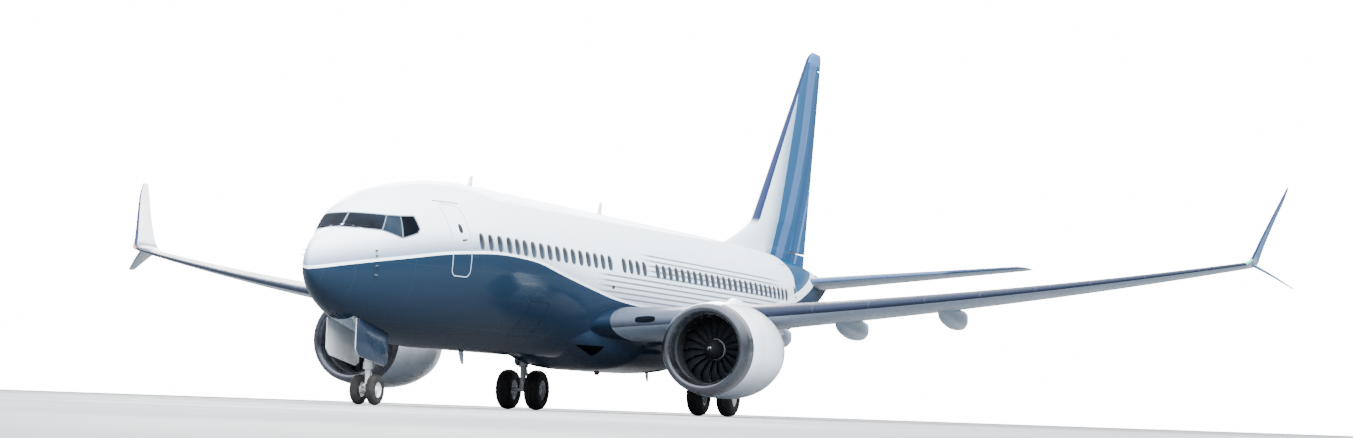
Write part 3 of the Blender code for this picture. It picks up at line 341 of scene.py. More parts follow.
# How far out a point is, as a share of the fuselage's section at its station, 1 on the skin:
# ((x / width)^(2 / p) + (z / reach)^(2 / p))^(p / 2)
def bodyLevel(points):
    width, z, reach, power = sectionOf(points[..., 1], points[..., 2])
    return (np.abs(points[..., 0] / width) ** (2 / power) + np.abs(z / reach) ** (2 / power)) ** (power / 2)


# Points moved onto the fuselage's skin along their radius, then out along its normal, the slope of bodyLevel
def laidOnBody(points, out=0.0):
    points = np.asarray(points, float)
    middle = bodyShape(points[..., 1])[3]
    level = bodyLevel(points)
    onSkin = points.copy()
    onSkin[..., 0] = points[..., 0] / level
    onSkin[..., 2] = middle + (points[..., 2] - middle) / level
    step = 0.004
    slopes = [bodyLevel(onSkin + step * axis) - bodyLevel(onSkin - step * axis) for axis in np.eye(3)]
    normal = np.stack(slopes, -1)
    normal /= np.linalg.norm(normal, axis=-1, keepdims=True)
    return onSkin + normal * np.asarray(out, float)[..., None]


# Points on one flank of the cabin from (station, height) pairs
def flank(pairs, side):
    pairs = np.asarray(pairs, float)
    width, z, reach, power = sectionOf(pairs[..., 0], pairs[..., 1])
    x = width * np.clip(1 - np.abs(z / reach) ** (2 / power), 0, 1) ** (power / 2)
    return np.stack([side * x, pairs[..., 0], pairs[..., 1]], -1)


# A thin raised line that follows a path on the skin, square in section
def seam(path, width, out, loop=False):
    path = np.asarray(path, float)
    along = np.roll(path, -1, axis=0) - np.roll(path, 1, axis=0) if loop else np.gradient(path, axis=0)
    base = laidOnBody(path)
    normal = laidOnBody(path, 1.0) - base
    sideways = np.cross(normal, along)
    sideways /= np.linalg.norm(sideways, axis=1, keepdims=True)
    corners = ((-0.5, out), (0.5, out), (0.5, -0.004), (-0.5, -0.004))
    rings = [base + sideways * width * across + normal * lift for across, lift in corners]
    return shell(np.stack(rings, 1), loop=loop)


# A closed outline in the (station, height) plane: a rectangle with round corners and closely spaced points
def roundedOutline(front, rear, low, high, radius):
    outline, spacing = [], 0.08
    corners = ((rear, high, 0), (front, high, 1), (front, low, 2), (rear, low, 3))
    for station, height, quarter in corners:
        inward = (-1 if station == rear else 1, -1 if height == high else 1)
        centre = np.array([station + inward[0] * radius, height + inward[1] * radius])
        angles = math.pi / 2 * (quarter + np.linspace(0, 1, 14))
        outline.append(centre + radius * np.stack([np.cos(angles), np.sin(angles)], -1))
    outline = np.concatenate(outline)
    following = np.roll(outline, -1, axis=0)
    gaps = np.linalg.norm(following - outline, axis=1)
    lines = []
    for start, stop, gap in zip(outline, following, gaps):
        steps = max(int(gap / spacing), 1)
        lines.append(start + (stop - start) * (np.arange(steps) / steps)[:, None])
    return np.concatenate(lines)


# A round or oval plate on a flank: its outline is half width cos^0.8, half height sin^0.8
def ovalPlate(centre, halfWide, halfHigh, side, out, depth=0.01):
    angles = turnAngles(24)
    across = halfWide * signedPower(np.cos(angles), 0.8)
    up = halfHigh * signedPower(np.sin(angles), 0.8)
    rings = []
    for reach, lift in ((0.5, out), (0.94, out), (1.0, out - 0.002), (1.0, -depth), (0.5, -depth)):
        pairs = np.stack([centre[0] + across * reach, centre[1] + up * reach], -1)
        rings.append(laidOnBody(flank(pairs, side), lift))
    middle = flank(np.array([centre]), side)
    return shell(rings, laidOnBody(middle, out)[0], laidOnBody(middle, -depth)[0])


# Livery. The belt is the line between white and blue, given as (station, height).
beltLine = (
    (0.30, -0.62), (0.95, -0.50), (1.85, -0.357), (2.90, -0.21), (4.09, -0.049), (5.09, 0.039), (6.22, 0.105),
    (7.58, 0.098), (8.64, 0.051), (9.95, -0.122), (12.16, -0.386), (13.84, -0.556), (15.53, -0.648),
    (17.2, -0.70), (19.0, -0.75), (21.0, -0.76), (23.0, -0.72), (25.0, -0.60), (26.5, -0.42), (28.0, -0.20),
    (29.53, 0.047), (30.4, 0.167), (31.54, 0.367), (32.56, 0.576), (34.3, 0.95), (38.15, 1.9),
)
# Where the white of the cabin ends and the tail's blue starts, as (height, station)
tailLine = (
    (-1.0, 28.6), (0.0, 29.2), (0.3, 29.9), (0.55, 30.4), (0.82, 30.71), (1.06, 30.93), (1.28, 31.0),
    (1.48, 31.0), (1.69, 31.15), (1.9, 31.6), (2.4, 32.65),
)


# Marks for the livery: height over the belt, and distance ahead of the tail's colour
def liveryMarks(grid):
    belt = grid[..., 2] - lineThrough(beltLine, grid[..., 1], False)
    return {"belt": belt, "ahead": lineThrough(tailLine, grid[..., 2]) - grid[..., 1]}


def markOf(tree, name):
    return addNode(tree, "ShaderNodeAttribute", output=2, attribute_name=name)


# Object coordinates turned back to (x, station, height)
def partCoordinates(tree):
    where = addNode(tree, "ShaderNodeTexCoord", output=3)
    shifted = addNode(tree, "ShaderNodeVectorMath", {
        0: where, 1: (0.0, noseStation + overallLength / 2, -lobeHeight),
    }, operation="ADD")
    x = addNode(tree, "ShaderNodeSeparateXYZ", {0: shifted})
    return where, x, x.node.outputs[1], x.node.outputs[2]


# 1 on thin lines that repeat at a pitch, else 0: the distance to the nearest line is under half a width
def repeatedLine(tree, value, pitch, width, shift=0.0):
    part = math2(tree, "PINGPONG", math2(tree, "SUBTRACT", value, shift), pitch / 2)
    return scaleOf(tree, width * 0.35, width * 0.65, part, 1.0, 0.0)


# Gloss polyurethane livery: white cabin over a silver cheat line, navy below, blue at the tail, thin grey
# pinstripes along the windows and faint skin joints, with painted light and shade: a grey band of painted
# shade over the belt, a navy darkened by painted shade towards the keel, and a lighter navy of painted light
# ahead of the wing root. It gives the eye the two-tone body with its swept belt.
def liveryPaint(look):
    material, tree, shader = startMaterial("livery_paint", {
        "Coat Weight": 0.25, "Coat Roughness": 0.10, "Specular IOR Level": 0.0,
    })
    where, _, station, height = partCoordinates(tree)
    belt, ahead = markOf(tree, "belt"), markOf(tree, "ahead")
    # Painted shade: the navy darkens with height, from the side colour at the middle to the keel colour at
    # the bottom
    shade = scaleOf(tree, look["deep"], look["shallow"], height)
    navy = mixed(tree, shade, look["keel"], look["side"])
    # Painted light: the navy turns lighter from station 9 to 14, ahead of the wing root
    glow = math2(tree, "MULTIPLY", scaleOf(tree, *look["rootLightSpan"], station), 0.35)
    navy = mixed(tree, glow, navy, look["paintedRootLight"])
    pin = repeatedLine(tree, height, look["pinPitch"], look["pinWidth"], look["pinHeight"])
    start = scaleOf(tree, 0.12, 0.20, height, *look["pinStart"])
    pin = math2(tree, "MULTIPLY", pin, addNode(tree, "ShaderNodeMapRange", {
        "Value": station, "From Min": start, "From Max": math2(tree, "ADD", start, 0.8),
    }))
    pin = math2(tree, "MULTIPLY", pin, scaleOf(tree, *look["pinEnd"], station, 1, 0))
    pin = math2(tree, "MULTIPLY", pin, scaleOf(tree, *look["pinTop"], height, 1, 0))
    cabin = mixed(tree, math2(tree, "MULTIPLY", pin, 0.85), look["white"], look["pin"])
    upper = mixed(tree, scaleOf(tree, -0.006, 0.006, ahead), look["tail"], cabin)
    # Painted shade: a grey band just over the belt, strongest by the nose and weaker along the cabin, fading
    # out 0.62 m above the belt
    shadeAlong = scaleOf(tree, 5.5, 9.0, station, look["shadeNose"], look["shadeCabin"])
    low = math2(tree, "MULTIPLY", scaleOf(tree, 0.05, 0.62, belt, 1, 0), shadeAlong)
    upper = mixed(tree, low, upper, look["shade"])
    stripe = scaleOf(tree, 16.0, 30.0, station, look["stripe"], look["stripeAft"])
    inStripe = math2(tree, "SUBTRACT", belt, stripe)
    upper = mixed(tree, scaleOf(tree, -0.004, 0.004, inStripe), look["silver"], upper)
    colour = mixed(tree, scaleOf(tree, -0.004, 0.004, belt), navy, upper)
    joints = math2(tree, "MAXIMUM", repeatedLine(tree, station, 2.54, 0.012, 0.55),
                   repeatedLine(tree, height, 1.30, 0.010, 0.97))
    radome = math2(tree, "ABSOLUTE", math2(tree, "SUBTRACT", station, look["radomeSeam"]))
    joints = math2(tree, "MAXIMUM", joints, scaleOf(tree, 0.004, 0.010, radome, 1, 0))
    colour = mixed(tree, math2(tree, "MULTIPLY", joints, 0.03), colour, look["joint"])
    patch = addNode(tree, "ShaderNodeTexNoise", {"Vector": where, "Scale": 0.9, "Detail": 5.0})
    peel = addNode(tree, "ShaderNodeTexNoise", {"Vector": where, "Scale": 60.0, "Detail": 2.0})
    uneven = math2(tree, "SUBTRACT", math2(tree, "MULTIPLY", peel, 0.12), joints)
    dress(tree, shader, {
        "Base Color": colour,
        "Roughness": scaleOf(tree, 0.3, 0.7, patch, 0.20, 0.30),
        "Normal": addNode(tree, "ShaderNodeBump", {"Height": uneven, "Strength": 0.25, "Distance": 0.002}),
    })
    return material


livery = liveryPaint({
    # Painted light and shade: shade is the grey band of painted shade over the belt, keel the navy darkened
    # by painted shade at the bottom, and the wing root's colour a lighter navy of painted light
    "white": "#DCE8F2", "silver": "#E4F0FA", "shade": "#6F7E92", "shadeNose": 0.95, "shadeCabin": 0.5,
    "side": "#162637", "keel": "#111E2C", "paintedRootLight": "#2A3A50",
    "tail": "#0A3C5E", "pin": "#4A5259", "joint": "#6F7780", "deep": -2.1, "shallow": 0.0,
    "pinPitch": 0.14, "pinWidth": 0.05, "pinHeight": 0.05, "stripe": 0.066, "stripeAft": 0.29,
    "pinStart": (12.4, 15.8), "pinEnd": (26.8, 29.4), "pinTop": (0.76, 0.80), "rootLightSpan": (9.0, 14.0),
    "radomeSeam": 1.30,
})

# Plain finishes, each with a dirt colour and noise in metres
# Grey satin enamel of the drain mast, a little streaked along the airflow
greyPaint = surface("wing_grey", {
    "colour": "#A7B1BA", "dirt": "#7F8A95", "roughness": 0.34, "patch": 0.8, "grain": 90.0, "coat": 0.25,
    "stretch": (1.0, 0.25, 1.0), "wear": 0.35,
})
# White enamel of the engine cowls and doors: bright and glossy, with light soot
whitePaint = surface("cowl_white", {
    "colour": "#E9EDF0", "dirt": "#C3C9CE", "roughness": 0.22, "patch": 1.6, "grain": 80.0, "coat": 0.5,
    "stretch": (1.0, 0.3, 1.0), "wear": 0.3,
})
# Guide vanes behind the fan: dull grey composite with a fine grain
ductLiner = surface("duct_liner", {
    "colour": "#6F747B", "dirt": "#4B5057", "roughness": 0.5, "metallic": 0.3, "patch": 5.0, "grain": 400.0,
    "bump": 0.3,
})
# Fan blades: forged titanium, here nearly black in the duct's shade, with a dull sheen
fanMetal = surface("fan_titanium", {
    "colour": "#14171B", "dirt": "#090A0D", "roughness": 0.62, "metallic": 0.2, "patch": 6.0, "grain": 150.0,
    "wear": 0.6, "gloss": 0.15,
})
# Gear doors: navy outside like the belly, pale grey inside
def makeDoorPaint():
    material = surface("gear_door_paint", {
        "colour": "#A9AFB5", "dirt": "#8B9197", "roughness": 0.3, "patch": 2.0, "grain": 90.0, "coat": 0.3,
    })
    tree = material.node_tree
    x = addNode(tree, "ShaderNodeSeparateXYZ", {0: addNode(tree, "ShaderNodeTexCoord", output=3)})
    facing = addNode(tree, "ShaderNodeSeparateXYZ", {0: addNode(tree, "ShaderNodeNewGeometry", output=1)})
    outward = math2(tree, "MULTIPLY", facing, math2(tree, "SIGN", x))
    inside = tree.nodes["Principled BSDF"].inputs["Base Color"].links[0].from_socket
    dress(tree, tree.nodes["Principled BSDF"], {
        "Base Color": mixed(tree, scaleOf(tree, 0.3, 0.6, outward), inside, "#0A1A2C"),
    })
    return material


gearDoorPaint = makeDoorPaint()
# Heat-tinted nozzle alloy: brown and blue patches over grey metal
nozzleMetal = surface("nozzle_alloy", {
    "colour": "#77716A", "dirt": "#3D4250", "roughness": 0.38, "metallic": 1.0, "patch": 4.0, "grain": 120.0,
    "wear": 0.9,
})
# Gear enamel: pale grey, dusty round the joints
gearPaint = surface("gear_enamel", {
    "colour": "#C6CACD", "dirt": "#7B7F83", "roughness": 0.36, "patch": 6.0, "grain": 200.0, "coat": 0.3,
    "wear": 0.45,
})
# Probe metal: heated steel, mid grey, dark on the white and pale on the blue
probeMetal = surface("probe_metal", {
    "colour": "#5B626C", "dirt": "#454B54", "roughness": 0.35, "metallic": 0.5, "patch": 9.0, "grain": 200.0,
})
# Chromed piston: bright and smooth
chrome = surface("piston_chrome", {
    "colour": "#D9DDE0", "dirt": "#A9AEB3", "roughness": 0.10, "metallic": 1.0, "patch": 9.0, "grain": 300.0,
    "bump": 0.01,
})
# Tyre rubber: near black, dusty, with a fine grain
rubber = surface("tyre_rubber", {
    "colour": "#1B1B1D", "dirt": "#3A3937", "roughness": 0.78, "patch": 7.0, "grain": 420.0, "bump": 0.25,
    "wear": 0.5,
})
# Dark rubber of hoses, seals and wiper blades
blackRubber = surface("black_rubber", {
    "colour": "#101113", "dirt": "#2A2B2D", "roughness": 0.55, "patch": 12.0, "grain": 300.0,
})
# Window glass from outside: almost black, sharp reflections, faint blue depth
windowGlass = surface("dark_glass", {
    "colour": "#05080D", "dirt": "#0C131C", "roughness": 0.06, "patch": 1.2, "grain": 30.0, "coat": 0.3,
    "bump": 0.01, "wear": 0.6, "gloss": 0.15,
})
# Flight deck glass: laminated, near black, with a soft blue-grey patch where it mirrors the sky
deckGlass = surface("flight_deck_glass", {
    "colour": "#04060A", "dirt": "#1A2532", "roughness": 0.10, "patch": 0.7, "grain": 30.0, "coat": 0.15,
    "bump": 0.01, "wear": 0.7, "gloss": 0.0,
})
# Glass of the second side pane: a little paler, because it is turned to more of the sky
quarterGlass = surface("quarter_glass", {
    "colour": "#18202A", "dirt": "#26323F", "roughness": 0.12, "patch": 1.1, "grain": 30.0, "coat": 0.08,
    "bump": 0.01, "wear": 0.7, "gloss": 0.0,
})
# Glass of the rear side pane: near black, with hardly a gleam
rearGlass = surface("rear_glass", {
    "colour": "#07090D", "dirt": "#10161E", "roughness": 0.2, "patch": 1.1, "grain": 30.0, "coat": 0.02,
    "bump": 0.01, "wear": 0.5, "gloss": 0.0,
})
# Frames round the flight deck's glass: painted metal, mid grey
frameMetal = surface("window_frame", {
    "colour": "#5C6874", "dirt": "#4A5560", "roughness": 0.45, "metallic": 0.2, "patch": 5.0, "grain": 200.0,
    "gloss": 0.15,
})
# Cabin panes: stretched acrylic, near black at the top and slate grey at the sill, where it mirrors the wing
def makeCabinGlass():
    material = surface("cabin_glass", {
        "colour": "#0A0F16", "dirt": "#141C26", "roughness": 0.10, "patch": 1.2, "grain": 30.0, "coat": 0.2,
        "bump": 0.01, "wear": 0.6, "gloss": 0.1,
    })
    tree = material.node_tree
    height = partCoordinates(tree)[3]
    shader = tree.nodes["Principled BSDF"]
    dark = shader.inputs["Base Color"].links[0].from_socket
    low = scaleOf(tree, 0.20, 0.48, height, 1, 0)
    dress(tree, shader, {"Base Color": mixed(tree, low, dark, "#2E3946")})
    return material


cabinGlass = makeCabinGlass()
# Window reveals: mid grey, the shaded rim round each pane
revealGrey = surface("window_reveal", {
    "colour": "#5A6570", "dirt": "#48525C", "roughness": 0.5, "patch": 4.0, "grain": 150.0, "gloss": 0.1,
})
# Sealant in the hold doors' outlines on the blue: a shade darker than the paint
navySeam = surface("navy_seam", {
    "colour": "#060C14", "dirt": "#0B131E", "roughness": 0.4, "patch": 4.0, "grain": 150.0, "gloss": 0.1,
})
# Door outlines: a pale line that stays light on the blue
seamPaint = surface("door_outline", {
    "colour": "#93A3B3", "dirt": "#7F8F9F", "roughness": 0.35, "patch": 4.0, "grain": 150.0,
})
# Sealant round the hatches over the wing: pale grey on the white
faintSeam = surface("skin_seam", {
    "colour": "#B4BAC0", "dirt": "#8F969D", "roughness": 0.4, "patch": 4.0, "grain": 150.0,
})
# Dark openings, matt black: on the belly's inlets a dark plate of painted shade for the opening's shaded
# inside, and the lining of the tail exhaust
darkHollow = surface("dark_hollow", {
    "colour": "#06080B", "dirt": "#0C0F13", "roughness": 0.7, "patch": 5.0, "grain": 100.0, "gloss": 0.0,
})
print("materials made")


# Fuselage skin: one fine surface for the radome, the cabin and the tail cone, open for the wells and exhaust
bodyLook = {"sides": 176, "cabinStart": 5.0, "cabinStep": 0.22, "end": 38.15, "exhaust": (37.8, 38.3),
            "exhaustHeight": 1.08, "noseWell": ((-0.33, 1.95, -2.7), (0.33, 3.66, -1.35))}
wellLook = {"x": 0.72, "station": 18.98, "radius": 0.60, "low": -2.7, "high": -1.75}


# Stations that stand closer together towards the nose: tip + 1.7 t^1.7
def bodyStations():
    nose = noseStation + 0.02 + 1.7 * np.linspace(0, 1, 40) ** 1.7
    front = np.arange(nose[-1] + 0.05, bodyLook["cabinStart"], 0.07)
    cabin = np.arange(bodyLook["cabinStart"], hullLook["tailStart"], bodyLook["cabinStep"])
    tail = np.linspace(hullLook["tailStart"], bodyLook["end"], 80)
    return np.concatenate([nose, front, cabin, tail])


# Cuts helper solids out of a piece by Boolean modifiers, applies them and removes the helpers
def cutBy(obj, cutters):
    for cutter in cutters:
        modifier = obj.modifiers.new("cut", "BOOLEAN")
        modifier.operation = "DIFFERENCE"
        modifier.object = cutter
        modifier.solver = "EXACT"
    bpy.context.view_layer.update()
    evaluated = obj.evaluated_get(bpy.context.evaluated_depsgraph_get())
    mesh = bpy.data.meshes.new_from_object(evaluated)
    obj.modifiers.clear()
    obj.data = mesh
    for cutter in cutters:
        bpy.data.objects.remove(cutter)
    mesh.set_sharp_from_angle(angle=math.radians(30))


def helper(name, solid):
    mesh = bpy.data.meshes.new(name)
    mesh.from_pydata(place(solid["points"]).tolist(), [], solid["faces"])
    obj = bpy.data.objects.new(name, mesh)
    bpy.context.scene.collection.objects.link(obj)
    return obj


# A box between two corners, given as (x, station, height)
def boxShell(low, high):
    (x0, s0, z0), (x1, s1, z1) = low, high
    return shell([[(x0, s0, z), (x1, s0, z), (x1, s1, z), (x0, s1, z)] for z in (z0, z1)])


# The upright round bays for the main wheels, one a side
def wheelWells():
    look = wellLook
    line = ((look["low"], look["radius"]), (look["high"], look["radius"]))
    bays = [turned("up", line, (side * look["x"], look["station"]), 64) for side in (1, -1)]
    return [helper("wheelWell", bay) for bay in bays]


def makeFuselage():
    rings = bodyRings(bodyStations(), bodyLook["sides"])
    body = shell(rings, (0.0, noseStation, hullLook["noseHeight"]), None, marks=liveryMarks(rings))
    skin = buildPiece("fuselageSkin", [body], [livery], replaced=("radome", "fuselage", "tail_cone"))
    exhaust = turned("aft", [(end, 0.15) for end in bodyLook["exhaust"]], (0, bodyLook["exhaustHeight"]), 48)
    cutters = [helper("noseWell", boxShell(*bodyLook["noseWell"])), helper("exhaust", exhaust)]
    cutBy(skin, cutters + wheelWells())


makeFuselage()
print("fuselage made")


# Belly fairing: a squarish swelling that wraps the wing's root, in the body's blue.
# Its half width and depth grow and shrink again: base + swell * ease(start) * (1 - ease(end)).
fairingLook = {"start": (12.3, 15.8), "end": (18.9, 23.3), "halfWidth": (1.30, 0.76), "depth": (0.72, 0.46),
               "middle": -1.22, "power": 0.72, "topShare": 0.62, "rings": 90, "sides": 144}


def fairingSize(stations):
    swell = ease(*fairingLook["start"], stations) * (1 - ease(*fairingLook["end"], stations))
    (wide, wider), (deep, deeper) = fairingLook["halfWidth"], fairingLook["depth"]
    return wide + wider * swell, deep + deeper * swell


def fairingRings():
    look = fairingLook
    stations = np.linspace(look["start"][0], look["end"][1], look["rings"])[:, None]
    wide, deep = fairingSize(stations)
    angles = turnAngles(look["sides"])
    across, up = np.cos(angles)[None], np.sin(angles)[None]
    x = wide * signedPower(across, look["power"])
    z = look["middle"] + deep * signedPower(up, look["power"]) * np.where(up > 0, look["topShare"], 1.0)
    return np.stack([x, np.broadcast_to(stations, x.shape), z], -1)


def makeFairing():
    rings = fairingRings()
    fairing = buildPiece("bellyFairing", [shell(rings, marks=liveryMarks(rings))], [livery],
                         replaced=("belly_fairing",))
    cutBy(fairing, wheelWells())


makeFairing()
print("fairing made")


# Wing. Edge lines as (station, height) at a distance x from the centre line, as in the part:
# front = root front + tan(sweep) d, height = root height + a d + b d^2, and a rear edge that turns at a kink
wingLook = {
    "root": 1.95, "junction": 16.95, "kink": 5.6, "front": 13.34, "sweep": 27.6, "rear": 20.45,
    "tipChord": 1.62, "height": -1.13, "rise": (0.0903, 0.0036), "droop": 0.06,
    "thickness": 0.128, "thinning": 0.036,
    "flaps": ((2.25, 5.45), (5.75, 12.1)), "flapStation": 19.30, "flapStart": 0.74,
    "aileron": (12.35, 15.9), "hinge": 0.76, "gap": 0.004, "step": 0.002, "slot": 0.012, "endSlot": 0.034,
}
wingSpan = wingLook["junction"] - wingLook["root"]


def wingEdges(x):
    look = wingLook
    d = np.asarray(x, float) - look["root"]
    slope = math.tan(math.radians(look["sweep"]))
    front = look["front"] + slope * d
    frontHeight = look["height"] + look["rise"][0] * d + look["rise"][1] * d * d
    tip = look["front"] + slope * wingSpan + look["tipChord"]
    outboard = np.maximum(d + look["root"] - look["kink"], 0) / (look["junction"] - look["kink"])
    rear = look["rear"] + (tip - look["rear"]) * outboard
    return front, frontHeight, rear, frontHeight - look["droop"] * (1 - d / wingSpan)


def wingChord(x):
    front, _, rear, _ = wingEdges(x)
    return rear - front


def wingThickness(x):
    part = np.clip((np.asarray(x, float) - wingLook["root"]) / wingSpan, 0, 1)
    return wingLook["thickness"] - wingLook["thinning"] * part ** 0.6


# The part of the chord where a flap starts: one station inboard, one part of the chord outboard
def flapPart(x):
    inboard = (wingLook["flapStation"] - wingEdges(x)[0]) / wingChord(x)
    return np.where(np.asarray(x) < wingLook["kink"], inboard, wingLook["flapStart"])


def aileronHalf(x):
    return foilHalf(wingLook["hinge"], wingThickness(x)) * wingChord(x) - wingLook["step"]


def wingRings(xs, side, start=0.0, end=1.0, count=40):
    front, frontHeight, rear, rearHeight = wingEdges(xs)
    leading = np.stack([side * xs, front, frontHeight], -1)
    trailing = np.stack([side * xs, rear, rearHeight], -1)
    return foilRings(leading, trailing, wingThickness(xs), (0, 0, 1), start, end, count)


# The wing's main part ends ahead of each flap and aileron, so their bays need no cut
def wingMain(side):
    zones = [(np.linspace(1.0, 2.24, 5), np.ones(5))]
    gap, step = wingLook["gap"], wingLook["step"]
    for low, high in wingLook["flaps"]:
        bay = np.linspace(low - gap, high + gap, 16)
        zones.append((bay, flapPart(bay) - 0.0008 / wingChord(bay)))
        edge = high + gap + step
        zones.append((np.linspace(edge, edge + 0.15 if low > wingLook["kink"] else 5.744, 3), np.ones(3)))
    low, high = wingLook["aileron"]
    bay = np.linspace(low - wingLook["endSlot"], high + wingLook["endSlot"], 14)
    zones.append((bay, wingLook["hinge"] - (aileronHalf(bay) + wingLook["slot"]) / wingChord(bay)))
    zones.append((np.linspace(bay[-1] + step, wingLook["junction"], 6), np.ones(6)))
    xs, ends = (np.concatenate(part) for part in zip(*zones))
    rings, marks = wingRings(xs, side, 0.0, ends, 44)
    return shell(rings, marks=marks)


# A control surface behind its hinge: a half-round nose about the hinge, then straight sides to a thin edge.
# Half thickness behind the nose at part t: half (1 - t)^0.8 (1 - 0.25 t) + 4 mm
def hingedShell(hinge, end, half, up):
    hinge, end = np.asarray(hinge, float), np.asarray(end, float)
    along = end - hinge
    reach = np.linalg.norm(along, axis=1)[:, None]
    along = along / reach
    up = np.broadcast_to(np.asarray(up, float), hinge.shape)
    half = np.asarray(half, float)[:, None]
    turn = math.pi * (0.5 + np.arange(17) / 16)
    nose = (hinge[:, None] + along[:, None] * (half * np.cos(turn))[..., None]
            + up[:, None] * (half * np.sin(turn))[..., None])
    part = np.linspace(0.06, 1.0, 14)
    thin = half * (1 - part) ** 0.8 * (1 - 0.25 * part) + 0.004
    middle = hinge[:, None] + along[:, None] * (reach * part)[..., None]
    lower, upper = middle - up[:, None] * thin[..., None], middle + up[:, None] * thin[..., None]
    return shell(np.concatenate([nose, lower, upper[:, ::-1]], axis=1))


def makeWing(label, side):
    buildPiece(f"wingSkin_{label}", [wingMain(side)], [wingPaint], replaced=(f"wing_{label}",))
    for name, (low, high) in zip(("inboard", "outboard"), wingLook["flaps"]):
        xs = np.linspace(low + 0.0006, high - 0.0006, 26)
        rings, marks = wingRings(xs, side, flapPart(xs) + 0.0012, 1.0, 22)
        buildPiece(f"flapSkin_{name}_{label}", [shell(rings, marks=marks)], [flapPaint],
                   replaced=(f"flap_{name}_{label}",))
    xs = np.linspace(*wingLook["aileron"], 24)
    front, frontHeight, rear, rearHeight = wingEdges(xs)
    leading = np.stack([side * xs, front, frontHeight], -1)
    trailing = np.stack([side * xs, rear, rearHeight], -1)
    hinge = leading + (trailing - leading) * wingLook["hinge"]
    aileron = hingedShell(hinge, trailing, aileronHalf(xs), (0, 0, 1))
    buildPiece(f"aileronSkin_{label}", [aileron], [flapPaint], body=f"aileron_{label}",
               replaced=(f"aileron_{label}",))


# Wing paint: grey epoxy with darker leading edges of rolled aluminium and thin joints along span and chord.
# The upper side is painted darker than the lower one as painted shade, with a darker band of painted shade
# behind the leading edge, and the bare edge is lighter inboard as a painted reflection.
# It gives the eye the dark line along the front of a pale, streaked wing.
def makeWingPaint(name, look):
    material, tree, shader = startMaterial(name, {
        "Coat Weight": 0.02, "Coat Roughness": 0.2, "Specular IOR Level": 0.05,
    })
    where, x, _, _ = partCoordinates(tree)
    chord = markOf(tree, "chord")
    facing = addNode(tree, "ShaderNodeSeparateXYZ", {0: addNode(tree, "ShaderNodeNewGeometry", output=1)}, 2)
    limit = scaleOf(tree, -0.3, 0.2, facing, look["metalLow"], look["metalEnd"])
    span = math2(tree, "ABSOLUTE", x)
    patch = addNode(tree, "ShaderNodeTexNoise", {"Vector": where, "Scale": 1.3, "Detail": 5.0})
    streaks = addNode(tree, "ShaderNodeMapping", {"Vector": where, "Scale": (9.0, 0.5, 3.0)})
    streak = addNode(tree, "ShaderNodeTexNoise", {"Vector": streaks, "Scale": 1.0, "Detail": 4.0})
    worn = math2(tree, "MULTIPLY", streak, look["streak"])
    lower = mixed(tree, worn, look["skin"], look["worn"])
    # Painted shade: the upper side is a darker grey than the lower one
    upper = mixed(tree, worn, look["shadedUpperSkin"], look["metal"])
    # Painted shade: on the upper side the front 30 percent of the chord is darker, fading out by half the
    # chord
    upper = mixed(tree, scaleOf(tree, 0.30, 0.50, chord), look["front"], upper)
    skin = mixed(tree, scaleOf(tree, 0.0, 0.3, facing), lower, upper)
    metal = scaleOf(tree, -0.003, 0.003, math2(tree, "SUBTRACT", chord, limit), 1, 0)
    # Painted reflection: the bare leading edge is lighter inboard of x = 4.7 to 5.1 m
    bare = mixed(tree, scaleOf(tree, 4.7, 5.1, span), look["metalInboardReflection"], look["metal"])
    colour = mixed(tree, metal, skin, bare)
    joints = math2(tree, "MAXIMUM", repeatedLine(tree, span, look["ribPitch"], 0.012),
                   repeatedLine(tree, chord, 0.22, 0.0025, look["metalEnd"]))
    colour = mixed(tree, math2(tree, "MULTIPLY", joints, 0.32), colour, look["joint"])
    root = scaleOf(tree, look["rootEnd"] - 0.01, look["rootEnd"] + 0.01, span, 1, 0)
    colour = mixed(tree, root, colour, look["root"])
    dress(tree, shader, {
        "Base Color": colour,
        "Roughness": scaleOf(tree, 0.3, 0.7, patch, 0.26, 0.36),
        "Normal": addNode(tree, "ShaderNodeBump", {
            "Height": math2(tree, "MULTIPLY", joints, -1.0), "Strength": 0.3, "Distance": 0.002,
        }),
    })
    return material


wingPaint = makeWingPaint("wing_paint", {
    "skin": "#8492A4", "worn": "#687688", "shadedUpperSkin": "#5D6C80", "front": "#3A485E", "metal": "#222837",
    "metalInboardReflection": "#3E4552", "joint": "#5E6872", "streak": 0.5,
    "metalLow": 0.02, "metalEnd": 0.16, "ribPitch": 1.32, "root": "#101F30", "rootEnd": 1.93,
})
flapPaint = makeWingPaint("flap_paint", {
    "skin": "#8C9AAA", "worn": "#738292", "shadedUpperSkin": "#6D7C90", "front": "#6D7C90", "metal": "#6D7C90",
    "metalInboardReflection": "#6D7C90", "joint": "#6A747E", "streak": 0.45,
    "metalLow": 0.0, "metalEnd": 0.0, "ribPitch": 1.98, "root": "#9AA6B3", "rootEnd": 0.5,
})
for label, side in sides:
    makeWing(label, side)
print("wings made")


# Winglets: an upper blade that curves up out of the tip, and a lower blade that leans out and down.
# Each row: x, rise over the junction, leading edge aft of the junction's, chord, lean from level in degrees
upperBlade = (
    (16.9503, 0.0, 0.0, 1.62, 0), (17.08, 0.09, 0.06, 1.50, 34), (17.17, 0.32, 0.24, 1.24, 60),
    (17.29, 0.68, 0.48, 1.02, 68), (17.52, 1.32, 0.92, 0.76, 70), (17.72, 1.88, 1.34, 0.54, 70),
    (17.82, 2.20, 1.66, 0.30, 70),
)
lowerBlade = ((17.05, 0.03, 0.45, 0.98), (17.5, -0.22, 0.86, 0.72), (18.04, -0.56, 1.38, 0.34))
wingletThickness = 0.09
lowerNormal = (0.5, 0, 0.866)


